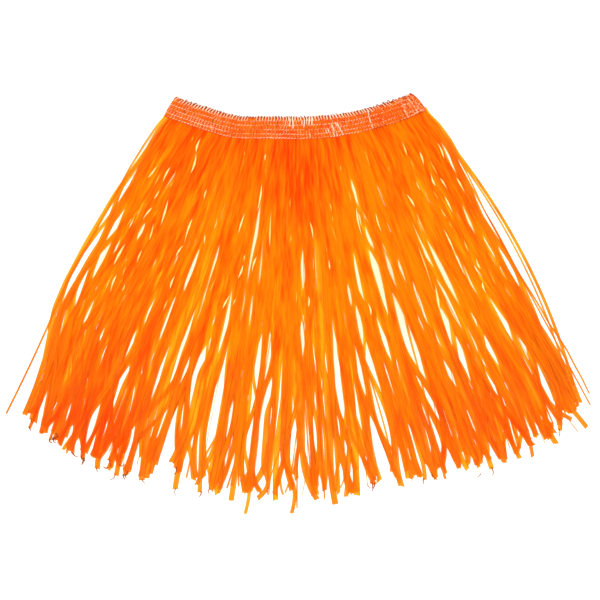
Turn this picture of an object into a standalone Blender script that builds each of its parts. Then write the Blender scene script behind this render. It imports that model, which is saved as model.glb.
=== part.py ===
"""A raffia grass skirt lying flat: an elastic waistband loop, its lapped side join, and a front and a back fringe.

Metres, +Z up. The skirt rests on the plane z = 0 with its waistband towards +Y and its hem towards -Y. All of its
strands point at one spot beyond the waistband, the fan's apex, so every piece is laid out in polar terms: a radius in
millimetres from the apex, and an angle in degrees from -Y, positive towards +X.
"""

import math

import bmesh
import bpy

MM = 0.001

# ---- driving dimensions -------------------------------------------------------------------------------------------
APEX_Y = 444.5  # mm, the apex's place on the Y axis
GAP = 0.3  # mm, between neighbouring pieces

# Waistband: a flattened loop of crocheted elastic. Its curve is a little flatter to the right than to the left.
BAND_TOP_R = 260.0  # mean
BAND_DEEP = 21.4  # mean
BAND_EDGES = (
    # at_deg, top_mm, hem_mm
    (-27.2, 267.4, 289.6),
    (-25.0, 267.1, 288.6),
    (-22.8, 265.8, 287.6),
    (-20.5, 264.8, 286.8),
    (-16.0, 264.5, 286.3),
    (-12.7, 264.2, 285.6),
    (-9.5, 261.4, 283.0),
    (-6.0, 259.1, 280.4),
    (-3.0, 258.2, 279.6),
    (0.0, 257.9, 279.5),
    (5.0, 257.9, 279.5),
    (10.0, 258.3, 279.4),
    (15.0, 258.8, 279.6),
    (20.0, 259.1, 280.3),
    (26.8, 260.4, 281.4),
)
BAND_WALL = 2.2
BAND_SLIT = 0.4  # between its front and back halves
BAND_STEPS = 26  # along each half
FOLD_STEPS = 4  # round each folded end
BAND_ENDS = {"left_top": -26.8, "left_hem": -27.2, "right_top": 25.7, "right_hem": 26.8}  # degrees

# Side join: the strip's end, lapped on the front half at its right end.
JOIN_LONG = 19.0
JOIN_WALL = 1.0
JOIN_INSET = 0.7  # from the band's two edges
JOIN_STEPS = 3

# Fringe: two layers of strands, parted into locks.
FRINGE_TOP_R = 284.0  # mean
HEM_R = 640.0  # mean hem
BACK_WALL = BAND_WALL
FRONT_Z = BAND_WALL + GAP
ROOT_WALL = 2.2  # the front layer where it leaves the band
LOCK_EDGE_WALL = 1.3  # along a lock's edge
LOCK_CREST_WALL = 2.7  # along its middle
CREST_FROM_R = 330.0  # where locks begin to stand apart
ROOT_SPREAD = 0.20  # how much closer together the roots are than the tips, mid-fringe
EDGE_ROOT = 27.0  # degrees, the fringe's outer edges at the band
EDGE_BULGE = 1.3  # degrees that the outer edges bow out by half way

ROWS_R = (FRINGE_TOP_R, 302.0, 330.0, 362.0, 394.0, 424.0, 454.0, 484.0, 512.0, 540.0, 566.0, 590.0, 612.0)

# One row per lock, left to right, with its numbers at the hem:
#   edge_deg   where its left edge lies
#   front_mm, back_mm   how far its tip reaches in each layer
#   blunt_mm   how much further back its two corners are than its tip
#   split_mm   where the split on its left side begins in the front layer
LOCKS = (
    # edge_deg, front_mm, back_mm, blunt_mm, split_mm
    (-27.95, 627.0, 596.0, 1.0, 0.0),
    (-27.55, 622.0, 624.0, 7.0, 512.0),
    (-25.0, 626.0, 633.0, 10.0, 566.0),
    (-22.6, 638.0, 632.0, 12.0, 590.0),
    (-20.1, 641.0, 634.0, 14.0, 566.0),
    (-18.3, 640.0, 643.0, 11.0, 590.0),
    (-16.4, 642.0, 636.0, 12.0, 590.0),
    (-14.7, 639.0, 641.0, 15.0, 566.0),
    (-12.9, 633.0, 640.0, 9.0, 566.0),
    (-11.3, 641.0, 632.0, 12.0, 590.0),
    (-9.8, 628.0, 637.0, 8.0, 566.0),
    (-8.5, 640.0, 633.0, 13.0, 512.0),
    (-6.7, 643.0, 638.0, 9.0, 566.0),
    (-5.0, 655.0, 644.0, 22.0, 566.0),
    (-3.6, 641.0, 637.0, 14.0, 512.0),
    (-2.0, 654.0, 640.0, 19.0, 590.0),
    (-0.6, 650.0, 640.0, 18.0, 566.0),
    (0.8, 640.0, 634.0, 11.0, 540.0),
    (2.5, 645.0, 639.0, 12.0, 590.0),
    (4.1, 639.0, 642.0, 10.0, 540.0),
    (6.2, 631.0, 628.0, 14.0, 540.0),
    (8.5, 637.0, 630.0, 12.0, 512.0),
    (10.3, 635.0, 638.0, 9.0, 590.0),
    (12.4, 637.0, 630.0, 13.0, 566.0),
    (14.2, 633.0, 636.0, 10.0, 566.0),
    (16.3, 639.0, 634.0, 14.0, 590.0),
    (18.8, 638.0, 641.0, 10.0, 566.0),
    (21.3, 641.0, 633.0, 13.0, 590.0),
    (23.4, 637.0, 634.0, 11.0, 590.0),
    (25.4, 621.0, 627.0, 12.0, 540.0),
    (27.75, 619.0, 600.0, 1.0, 512.0),
)
RIGHT_EDGE_DEG = 28.15
SPLIT_HALF = 1.5  # mm, half of a split's width at the hem
BACK_SPLIT_R = 590.0  # the back layer's splits begin here, but for those below

# One row per opening where the strands part in both layers, so that it goes right through:
#   at_deg    the angle of the line it lies on, as that line's angle at the hem
#   from_mm, to_mm   where it begins and ends; one that runs out at the hem ends at 999
#   half_mm   half of its greatest width
#   lean      -1 takes it all from the strands on its left, 1 from those on its right, 0 from both alike
OPENINGS = (
    # at_deg, from_mm, to_mm, half_mm, lean
    (-27.55, 512.0, 999.0, 5.0, 1.0),
    (-26.3, 424.0, 484.0, 2.6, 0.0),
    (-20.1, 566.0, 999.0, 2.6, 0.0),
    (-19.2, 512.0, 590.0, 2.6, 0.0),
    (-14.7, 394.0, 454.0, 1.6, 0.0),
    (-14.7, 484.0, 540.0, 2.4, 0.0),
    (-12.1, 484.0, 566.0, 3.6, 0.0),
    (-8.5, 512.0, 999.0, 4.2, 0.0),
    (-5.0, 484.0, 540.0, 2.4, 0.0),
    (-5.0, 566.0, 999.0, 2.8, 0.0),
    (-3.6, 512.0, 999.0, 3.6, 0.0),
    (0.8, 454.0, 512.0, 2.0, 0.0),
    (0.8, 540.0, 999.0, 2.4, 0.0),
    (5.15, 484.0, 590.0, 3.4, 0.0),
    (8.5, 512.0, 999.0, 3.8, 0.0),
    (12.4, 394.0, 454.0, 2.8, 0.0),
    (14.2, 454.0, 540.0, 4.4, 0.0),
    (18.8, 454.0, 540.0, 2.6, 0.0),
    (20.05, 394.0, 484.0, 2.4, 0.0),
    (25.4, 540.0, 999.0, 3.0, 0.0),
    (26.5, 424.0, 484.0, 2.6, 0.0),
    (27.75, 512.0, 999.0, 4.0, -1.0),
)

COLOURS = {
    "waistband": ((0.87, 0.16, 0.03, 1.0), 0.75),
    "side_join": ((0.90, 0.24, 0.08, 1.0), 0.75),
    "fringe_front": ((0.95, 0.21, 0.008, 1.0), 0.38),
    "fringe_back": ((0.88, 0.15, 0.004, 1.0), 0.42),
}


# ---- layout -------------------------------------------------------------------------------------------------------
def place(radius, degrees, height):
    """Polar terms to x, y, z in millimetres."""
    turn = math.radians(degrees)
    return radius * math.sin(turn), APEX_Y - radius * math.cos(turn), height


def strand_angle(hem_deg, radius):
    """The angle at a radius of the strand line whose tip lies at hem_deg. Roots are closer together than tips."""
    span = RIGHT_EDGE_DEG
    share = hem_deg / span
    along = max(0.0, min(1.0, math.log(radius / FRINGE_TOP_R) / math.log(HEM_R / FRINGE_TOP_R)))
    root = EDGE_ROOT * share * (1.0 - ROOT_SPREAD * (1.0 - share * share))
    bow = EDGE_BULGE * share**3 * math.sin(math.pi * along)
    return root + (hem_deg - root) * along + bow


def band_radius(degrees, down):
    """How far out the band lies at an angle: its top edge with down = 0, its hem with down = 1."""
    last = len(BAND_EDGES) - 2
    row = max(0, min(last, sum(1 for edge in BAND_EDGES if edge[0] <= degrees) - 1))
    (at, top, hem), (next_at, next_top, next_hem) = BAND_EDGES[row], BAND_EDGES[row + 1]
    share = max(0.0, min(1.0, (degrees - at) / (next_at - at)))
    top, hem = top + (next_top - top) * share, hem + (next_hem - hem) * share
    return top + (hem - top) * down


def band_angle(share, down):
    """The angle at a share of the way along the band, whose two ends are cut a little aslant."""
    left = BAND_ENDS["left_top"] + (BAND_ENDS["left_hem"] - BAND_ENDS["left_top"]) * down
    right = BAND_ENDS["right_top"] + (BAND_ENDS["right_hem"] - BAND_ENDS["right_top"]) * down
    return left + (right - left) * share


def smooth(x):
    x = max(0.0, min(1.0, x))
    return x * x * (3.0 - 2.0 * x)


# ---- waistband ----------------------------------------------------------------------------------------------------
def band_place(degrees, down, height):
    return place(band_radius(degrees, down), degrees, height)


def band_loop(down, outer):
    """The flattened loop's outer or inner line at one depth, as points, once round from the front half's left end."""
    thick = 2.0 * BAND_WALL + BAND_SLIT
    middle = thick / 2.0
    reach = middle if outer else BAND_SLIT / 2.0
    fold_mm = thick / 2.0  # the folds' centres lie this far in from the ends
    points = []
    for half, way in ((1, 1), (-1, -1)):  # the front half left to right, then the back half right to left
        for step in range(BAND_STEPS + 1):
            share = step / BAND_STEPS if way > 0 else 1.0 - step / BAND_STEPS
            inset = math.degrees(fold_mm / BAND_TOP_R)
            left, right = band_angle(0.0, down) + inset, band_angle(1.0, down) - inset
            points.append(band_place(left + (right - left) * share, down, middle + half * reach))
        end = band_angle(1.0, down) if way > 0 else band_angle(0.0, down)
        centre = end - way * math.degrees(fold_mm / BAND_TOP_R)
        for step in range(1, FOLD_STEPS):
            turn = math.pi * step / FOLD_STEPS
            out = math.degrees(reach * math.sin(turn) / BAND_TOP_R)
            points.append(band_place(centre + way * out, down, middle + half * reach * math.cos(turn)))
    return points


def build_waistband():
    """A ring of faces between the outer and inner lines at the band's top, extruded down to its hem."""
    bm = bmesh.new()
    lines = {down: (band_loop(down, True), band_loop(down, False)) for down in (0.0, 1.0)}
    outer = [bm.verts.new(p) for p in lines[0.0][0]]
    inner = [bm.verts.new(p) for p in lines[0.0][1]]
    count = len(outer)
    ring = [bm.faces.new((outer[i], outer[(i + 1) % count], inner[(i + 1) % count], inner[i])) for i in range(count)]
    twin = bmesh.ops.extrude_face_region(bm, geom=ring)
    moved = [v for v in twin["geom"] if isinstance(v, bmesh.types.BMVert)]
    home = {}
    for top, hem in zip(lines[0.0][0] + lines[0.0][1], lines[1.0][0] + lines[1.0][1]):
        home[tuple(round(c, 3) for c in top)] = hem
    for v in moved:
        v.co = home[tuple(round(c, 3) for c in v.co)]
    return bm


def build_side_join():
    """A short curved tab that follows the band's front face at its right end, 0.3 mm above it."""
    bm = bmesh.new()
    low = 2.0 * BAND_WALL + BAND_SLIT + GAP
    rows = []
    for down in (JOIN_INSET / BAND_DEEP, 1.0 - JOIN_INSET / BAND_DEEP):
        end = band_angle(1.0, down) - math.degrees(0.6 * BAND_WALL / BAND_TOP_R)
        long = math.degrees(JOIN_LONG / BAND_TOP_R)
        rows.append([
            bm.verts.new(band_place(end - long * (1.0 - step / JOIN_STEPS), down, low))
            for step in range(JOIN_STEPS + 1)
        ])
    sheet = [
        bm.faces.new((rows[0][i], rows[0][i + 1], rows[1][i + 1], rows[1][i])) for i in range(JOIN_STEPS)
    ]
    lift(bm, sheet, lambda v: low + JOIN_WALL)
    return bm


def lift(bm, sheet, height):
    """Thicken a flat sheet: extrude it and raise the copy to height(vertex)."""
    twin = bmesh.ops.extrude_face_region(bm, geom=sheet)
    for v in [v for v in twin["geom"] if isinstance(v, bmesh.types.BMVert)]:
        v.co.z = height(v)


# ---- fringe -------------------------------------------------------------------------------------------------------
def fringe_lines():
    """Angles at the hem of the lines the fringe is laid out on: each lock's left edge and middle, then the last edge."""
    edges = [lock[0] for lock in LOCKS] + [RIGHT_EDGE_DEG]
    lines = []
    for left, right in zip(edges, edges[1:]):
        lines += [left, (left + right) / 2.0]
    return lines + [edges[-1]]


def open_widths(lines, front):
    """How far the strands stand off each line at each row, in mm, as (on its left, on its right)."""
    rows = len(ROWS_R) + 1  # the last row is the tips
    wide = [[(0.0, 0.0)] * rows for _ in lines]
    wanted = list(OPENINGS)
    for k in range(2, len(LOCKS) - 1):
        start = LOCKS[k][4] if front else max(BACK_SPLIT_R, LOCKS[k][4])
        wanted.append((LOCKS[k][0], start, 999.0, SPLIT_HALF, 0.0))
    for at, start, stop, half, lean in wanted:
        line = min(range(1, len(lines) - 1), key=lambda j: abs(lines[j] - at))
        for row in range(rows):
            radius = ROWS_R[row] if row < len(ROWS_R) else HEM_R
            if stop > 900.0:
                part = smooth((radius - start) / (HEM_R - 30.0 - start))
            else:
                part = math.sin(math.pi * max(0.0, min(1.0, (radius - start) / (stop - start))))
            if part > 0.02:
                now = wide[line][row]
                wide[line][row] = (max(now[0], half * part * (1.0 - lean)), max(now[1], half * part * (1.0 + lean)))
    return wide


def build_fringe(front):
    """One layer: a sheet laid out on the strand lines, parted at its splits and openings, then thickened."""
    lines = fringe_lines()
    wide = open_widths(lines, front)
    last = len(ROWS_R)
    low = FRONT_Z if front else 0.0
    bm = bmesh.new()
    verts, crest = {}, {}

    def tip_radius(line, side):
        lock = min(len(LOCKS) - 1, line // 2 if side > 0 or line % 2 else line // 2 - 1)
        lock = max(0, lock)
        reach = LOCKS[lock][1] if front else LOCKS[lock][2]
        return reach - (0.0 if line % 2 else LOCKS[lock][3])

    def vertex(line, row, side):
        off = wide[line][row]
        outer = line in (0, len(lines) - 1)
        key = (line, row, side if max(off) > 0.0 and not outer else 0)
        if key not in verts:
            if row < last:
                radius = ROWS_R[row]
            elif key[2] == 0 and line % 2 == 0 and not outer:
                radius = min(tip_radius(line, -1), tip_radius(line, 1))
            else:
                radius = tip_radius(line, side)
            turn = strand_angle(lines[line], radius) + math.degrees(key[2] * off[side > 0] / radius)
            if row == 0:
                radius = band_radius(turn, 1.0) + GAP
            verts[key] = bm.verts.new(place(radius, turn, low))
            apart = smooth((radius - CREST_FROM_R) / 120.0)
            worn = LOCK_CREST_WALL if line % 2 else LOCK_EDGE_WALL
            crest[verts[key]] = ROOT_WALL + (worn - ROOT_WALL) * apart if front else BACK_WALL
        return verts[key]

    sheet = []
    for line in range(len(lines) - 1):
        for row in range(last):
            corners = (
                vertex(line, row, 1), vertex(line + 1, row, -1), vertex(line + 1, row + 1, -1), vertex(line, row + 1, 1)
            )
            sheet.append(bm.faces.new(corners))
    walls = {tuple(round(c, 3) for c in v.co): crest[v] for v in verts.values()}
    lift(bm, sheet, lambda v: low + walls[tuple(round(c, 3) for c in v.co)])
    return bm


# ---- objects ------------------------------------------------------------------------------------------------------
def material(name):
    colour, rough = COLOURS[name]
    made = bpy.data.materials.new(name)
    made.use_nodes = True
    shader = made.node_tree.nodes["Principled BSDF"]
    shader.inputs["Base Color"].default_value = colour
    shader.inputs["Roughness"].default_value = rough
    shader.inputs["Metallic"].default_value = 0.0
    made.diffuse_color = colour
    return made


def main():
    for old in list(bpy.data.objects):
        bpy.data.objects.remove(old, do_unlink=True)

    pieces = {
        "waistband": build_waistband(),
        "side_join": build_side_join(),
        "fringe_front": build_fringe(True),
        "fringe_back": build_fringe(False),
    }
    # The origin lies under the middle of the laid-out skirt.
    points = [v.co for bm in pieces.values() for v in bm.verts]
    middle_x = (min(p.x for p in points) + max(p.x for p in points)) / 2.0
    middle_y = (min(p.y for p in points) + max(p.y for p in points)) / 2.0
    root = bpy.data.objects.new("grass_skirt", None)
    bpy.context.scene.collection.objects.link(root)
    for name, bm in pieces.items():
        for v in bm.verts:
            v.co = ((v.co.x - middle_x) * MM, (v.co.y - middle_y) * MM, v.co.z * MM)
        bmesh.ops.recalc_face_normals(bm, faces=bm.faces)
        if bm.calc_volume(signed=True) < 0.0:
            bmesh.ops.reverse_faces(bm, faces=bm.faces)
        mesh = bpy.data.meshes.new(name)
        bm.to_mesh(mesh)
        bm.free()
        mesh.materials.append(material(name))
        made = bpy.data.objects.new(name, mesh)
        bpy.context.scene.collection.objects.link(made)
        made.parent = root


main()
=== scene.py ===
"""The looks of a raffia grass skirt laid flat: strands of split film in two layers, and a crocheted elastic waistband."""

import math

import bpy
import numpy as np
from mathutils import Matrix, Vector


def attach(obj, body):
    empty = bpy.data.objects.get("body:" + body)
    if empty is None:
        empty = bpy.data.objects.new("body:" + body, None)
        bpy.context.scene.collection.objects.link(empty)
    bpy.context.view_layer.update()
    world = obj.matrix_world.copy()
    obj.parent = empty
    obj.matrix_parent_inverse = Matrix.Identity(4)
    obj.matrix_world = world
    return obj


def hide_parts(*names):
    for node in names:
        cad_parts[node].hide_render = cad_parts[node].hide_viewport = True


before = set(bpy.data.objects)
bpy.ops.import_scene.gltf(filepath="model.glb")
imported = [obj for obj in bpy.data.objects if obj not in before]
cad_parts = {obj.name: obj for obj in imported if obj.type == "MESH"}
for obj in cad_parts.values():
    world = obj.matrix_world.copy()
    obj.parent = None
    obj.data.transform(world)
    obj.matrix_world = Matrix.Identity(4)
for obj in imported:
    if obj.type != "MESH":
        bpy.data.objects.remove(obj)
MM = 0.001
rng = np.random.default_rng(20)

# ---- layout -------------------------------------------------------------------------------------------------------
# Everything below is in millimetres. The skirt's strands all point at one spot above the waistband, the apex.
MIDDLE = (-0.69, 0.36)  # the frame's origin, from the fan's own axis
APEX = np.array([0.0 - MIDDLE[0], 444.5 - MIDDLE[1]])
BAND_WALL, BAND_SLIT = 2.2, 0.4
HEM_R = 640.0
ROOT_R = 282.0


def spot(across, down):
    """A point given from the top left corner of the 600 mm square that the skirt is laid out on."""
    return np.array([across - 298.0 - MIDDLE[0], 303.5 - down - MIDDLE[1]])


def polar(degrees, radius):
    turn = np.radians(degrees)
    return np.stack([APEX[0] + radius * np.sin(turn), APEX[1] - radius * np.cos(turn)], axis=-1)


def to_polar(points):
    rel = np.asarray(points) - APEX
    return np.degrees(np.arctan2(rel[..., 0], -rel[..., 1])), np.hypot(rel[..., 0], rel[..., 1])


def band_radius(degrees, down):
    top = np.interp(degrees, band_edges[:, 0], band_edges[:, 1])
    return top + (np.interp(degrees, band_edges[:, 0], band_edges[:, 2]) - top) * down


def smooth(x):
    x = np.clip(x, 0.0, 1.0)
    return x * x * (3.0 - 2.0 * x)


# ---- tables -------------------------------------------------------------------------------------------------------
# The waistband's top edge and hem.
BAND_EDGES = (
    # at_deg, top_mm, hem_mm
    (-27.2, 267.4, 289.6),
    (-25.0, 267.1, 288.6),
    (-22.8, 265.8, 287.6),
    (-20.5, 264.8, 286.8),
    (-16.0, 264.5, 286.3),
    (-12.7, 264.2, 285.6),
    (-9.5, 261.4, 283.0),
    (-6.0, 259.1, 280.4),
    (-3.0, 258.2, 279.6),
    (0.0, 257.9, 279.5),
    (5.0, 257.9, 279.5),
    (10.0, 258.3, 279.4),
    (15.0, 258.8, 279.6),
    (20.0, 259.1, 280.3),
    (26.8, 260.4, 281.4),
)
band_edges = np.array(BAND_EDGES)

# Where strands that leave the band at root_deg lie at the hem.
FLOW = (
    # root_deg, hem_deg
    (-27.2, -26.2),
    (-24.0, -24.6),
    (-20.0, -22.2),
    (-16.0, -19.4),
    (-12.0, -15.4),
    (-8.0, -10.6),
    (-4.0, -5.4),
    (0.0, 0.2),
    (4.0, 6.0),
    (8.0, 11.8),
    (12.0, 16.8),
    (16.0, 20.6),
    (20.0, 23.4),
    (24.0, 25.4),
    (26.8, 26.8),
)

# The fringe's two side edges, by the radius from the pole that the band is curved about.
EDGES = (
    # radius, left_deg, right_deg
    (284.0, -27.2, 26.9),
    (300.0, -27.9, 27.8),
    (320.0, -28.3, 28.2),
    (350.0, -28.6, 27.8),
    (400.0, -28.6, 27.5),
    (440.0, -28.7, 27.6),
    (480.0, -28.8, 27.8),
    (510.0, -28.6, 27.85),
    (530.0, -28.2, 27.8),
    (560.0, -27.3, 27.9),
    (590.0, -26.8, 27.7),
    (612.0, -26.5, 27.3),
    (640.0, -26.4, 27.1),
)

# How far the strands reach, from the pole that the band is curved about.
HEM = (
    # at_deg, radius
    (-29.0, 560.0),
    (-28.2, 600.0),
    (-27.1, 612.0),
    (-26.3, 620.0),
    (-25.0, 625.0),
    (-23.5, 632.0),
    (-22.2, 636.0),
    (-21.2, 632.0),
    (-20.0, 640.0),
    (-17.0, 639.0),
    (-14.0, 639.0),
    (-12.9, 615.0),
    (-12.0, 626.0),
    (-10.5, 630.0),
    (-9.0, 634.0),
    (-6.0, 636.0),
    (-3.0, 636.0),
    (0.0, 636.0),
    (3.0, 639.0),
    (5.5, 636.0),
    (7.4, 624.0),
    (9.5, 633.0),
    (12.5, 632.0),
    (15.0, 631.0),
    (18.0, 634.0),
    (20.5, 637.0),
    (22.3, 631.0),
    (24.0, 634.0),
    (24.6, 622.0),
    (25.6, 614.0),
    (26.4, 618.0),
    (27.3, 618.0),
    (28.2, 590.0),
    (29.2, 540.0),
)

# Where the strands part and the surface under them shows: the middle of each parting, its size, the way it leans,
# and how far from its middle it is widest, from -1 at its top to 1 at its foot.
PARTINGS = (
    # across, down, long, wide, lean_deg, widest
    (407.0, 335.0, 96.0, 10.2, 19.2, 0.2),
    (214.8, 411.5, 100.0, 12.0, -10.5, 0.1),
    (337.6, 375.2, 94.0, 7.4, 6.6, 0.5),
    (196.2, 379.9, 59.0, 10.6, -14.5, -0.1),
    (379.4, 412.5, 59.0, 9.8, 18.6, 0.1),
    (265.7, 407.1, 52.0, 9.0, -9.1, -0.3),
    (546.7, 386.2, 51.0, 7.4, 22.1, -0.3),
    (443.4, 273.8, 70.0, 4.8, 26.0, -0.2),
    (259.8, 455.3, 52.0, 6.2, -11.8, 0.2),
    (89.0, 249.6, 64.0, 4.8, -34.3, 0.0),
    (428.4, 417.3, 84.0, 3.8, 23.0, 0.4),
    (377.3, 274.9, 52.0, 6.4, 17.7, -0.4),
    (425.2, 391.9, 69.0, 4.4, 27.0, 0.1),
    (306.1, 442.0, 47.0, 6.4, 6.8, -0.1),
    (168.3, 377.9, 60.0, 4.8, -28.0, -0.2),
    (246.6, 452.0, 57.0, 5.0, -4.8, -0.4),
    (257.5, 361.4, 52.0, 5.0, -7.2, 0.3),
    (460.3, 351.1, 47.0, 5.9, 19.6, 0.2),
    (120.1, 385.0, 38.0, 7.2, -25.9, -0.2),
    (250.3, 401.3, 37.0, 7.6, -9.2, -0.2),
    (292.2, 447.5, 48.0, 4.8, -1.3, 0.1),
    (491.8, 256.9, 43.0, 6.0, 27.0, -0.1),
    (448.0, 328.0, 43.0, 4.8, 13.7, 0.0),
    (92.5, 421.5, 43.0, 4.8, -22.1, 0.0),
    (268.0, 356.5, 42.0, 4.2, -5.5, 0.3),
    (419.2, 303.9, 41.0, 4.4, 18.4, -0.1),
    (302.0, 334.5, 44.0, 3.9, 1.5, 0.2),
    (369.7, 364.1, 36.0, 5.0, 23.4, 0.3),
    (445.4, 296.2, 46.0, 3.3, 19.6, 0.3),
    (302.5, 272.5, 40.0, 3.8, 3.7, 0.0),
    (399.3, 263.7, 35.0, 3.8, 15.5, -0.3),
    (113.0, 229.6, 27.0, 5.4, -29.7, 0.2),
    (229.6, 419.1, 39.0, 3.6, -9.4, -0.4),
    (260.0, 273.4, 33.0, 3.4, -8.5, 0.0),
    (191.1, 269.0, 40.0, 3.1, -21.4, 0.1),
    (359.0, 320.8, 32.0, 4.4, 17.4, -0.3),
    (102.6, 254.2, 24.0, 6.0, -17.4, -0.5),
    (255.2, 234.5, 27.0, 3.8, -13.6, 0.0),
    (151.4, 414.4, 23.0, 5.2, -29.6, 0.0),
    (357.4, 277.4, 37.0, 3.5, 11.7, 0.3),
    (338.1, 423.0, 25.0, 4.4, 10.7, 0.4),
    (423.8, 430.1, 40.0, 2.7, 20.8, 0.0),
    (357.9, 412.5, 26.0, 4.0, 0.2, -0.1),
    (197.1, 450.0, 37.0, 3.0, -4.9, 0.3),
    (80.1, 288.0, 41.0, 2.5, -17.8, -0.3),
    (509.2, 266.9, 32.0, 3.0, 26.3, -0.2),
    (360.0, 374.5, 18.0, 6.0, 17.4, 0.0),
    (314.5, 435.5, 32.0, 3.1, 5.0, -0.2),
    (427.2, 256.9, 25.0, 4.2, 24.9, 0.0),
    (389.6, 229.9, 24.0, 4.2, 22.9, 0.3),
    (224.7, 327.4, 27.0, 3.2, -17.8, 0.0),
    (180.1, 421.7, 29.0, 3.1, -15.1, 0.0),
    (229.5, 444.2, 28.0, 3.0, -18.8, 0.0),
    (122.5, 190.5, 20.0, 4.0, -30.7, 0.0),
    (471.7, 225.1, 23.0, 3.9, 24.7, -0.1),
    (447.4, 453.9, 17.0, 5.2, 14.6, 0.4),
    (502.1, 281.9, 23.0, 3.2, 27.5, 0.2),
    (157.6, 379.8, 32.0, 2.5, -24.2, 0.3),
    (447.3, 368.6, 21.0, 3.4, 19.3, -0.1),
    (383.2, 337.9, 18.0, 4.3, 11.9, 0.0),
    (487.8, 345.1, 16.0, 4.5, 21.9, 0.0),
    (185.6, 368.5, 23.0, 3.0, -18.9, 0.0),
    (147.0, 436.3, 18.0, 4.2, -12.3, -0.1),
    (389.5, 270.5, 21.0, 3.3, 18.5, 0.0),
    (368.5, 237.7, 15.0, 4.8, 25.0, 0.1),
    (250.8, 307.5, 24.0, 2.9, -10.3, 0.1),
    (313.9, 265.9, 21.0, 2.8, 8.7, 0.2),
    (238.2, 414.5, 20.0, 3.0, -10.5, 0.3),
    (380.8, 197.2, 20.0, 3.0, 18.7, 0.1),
    (355.5, 196.0, 19.0, 3.0, 11.5, 0.0),
    (215.5, 257.0, 28.0, 2.2, -15.4, 0.0),
    (418.7, 316.5, 17.0, 3.4, 15.3, 0.0),
    (326.4, 378.9, 25.0, 2.6, 6.6, 0.1),
    (349.8, 297.9, 20.0, 2.9, 17.6, 0.1),
    (477.5, 387.6, 17.0, 3.5, 13.6, 0.1),
    (140.6, 229.8, 16.0, 3.5, -24.8, 0.1),
    (446.7, 152.4, 22.0, 2.6, 23.2, 0.1),
    (437.5, 295.0, 17.0, 3.3, 25.0, 0.0),
    (145.3, 146.3, 18.0, 3.0, -39.6, 0.0),
    (344.9, 447.5, 14.0, 3.6, -1.1, -0.1),
    (241.9, 370.5, 20.0, 2.4, -12.7, -0.3),
    (363.6, 389.0, 13.0, 3.8, -2.8, -0.1),
    (473.7, 426.4, 18.0, 2.9, 28.6, 0.3),
    (462.5, 267.6, 15.0, 3.3, 16.3, 0.2),
)

# Where the hem divides into locks: each notch runs from its top to its mouth, and is widest there.
NOTCHES = (
    # top_across, top_down, mouth_across, mouth_down, wide
    (45.8, 391.5, 37.0, 426.0, 5.0),
    (77.4, 434.0, 77.0, 452.0, 6.0),
    (113.8, 441.0, 101.0, 466.0, 7.0),
    (138.0, 443.0, 133.0, 480.0, 7.5),
    (177.4, 402.0, 161.0, 486.0, 17.0),
    (186.0, 445.0, 185.5, 492.0, 11.0),
    (206.0, 464.0, 206.5, 494.0, 3.2),
    (234.0, 456.0, 222.0, 500.0, 8.0),
    (240.0, 480.0, 238.5, 502.0, 6.0),
    (254.0, 482.0, 253.0, 506.0, 5.0),
    (270.5, 477.0, 269.5, 504.0, 4.0),
    (283.0, 467.0, 284.5, 504.0, 11.0),
    (300.7, 453.6, 306.5, 500.0, 9.0),
    (318.4, 472.0, 321.5, 502.0, 3.5),
    (339.4, 454.5, 343.0, 499.0, 4.5),
    (358.8, 457.0, 366.0, 488.0, 9.0),
    (368.5, 410.0, 387.0, 486.0, 16.0),
    (407.0, 422.0, 429.0, 484.0, 6.0),
    (438.0, 467.0, 441.0, 484.0, 5.0),
    (443.0, 446.0, 453.0, 474.0, 10.0),
    (470.5, 454.0, 473.0, 474.0, 4.0),
    (483.0, 450.0, 485.0, 474.0, 4.0),
    (488.6, 443.8, 498.0, 468.0, 8.0),
    (505.9, 436.0, 512.0, 462.0, 8.0),
    (522.4, 435.0, 526.0, 462.0, 8.0),
    (562.0, 414.0, 572.0, 440.0, 16.0),
)

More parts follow.
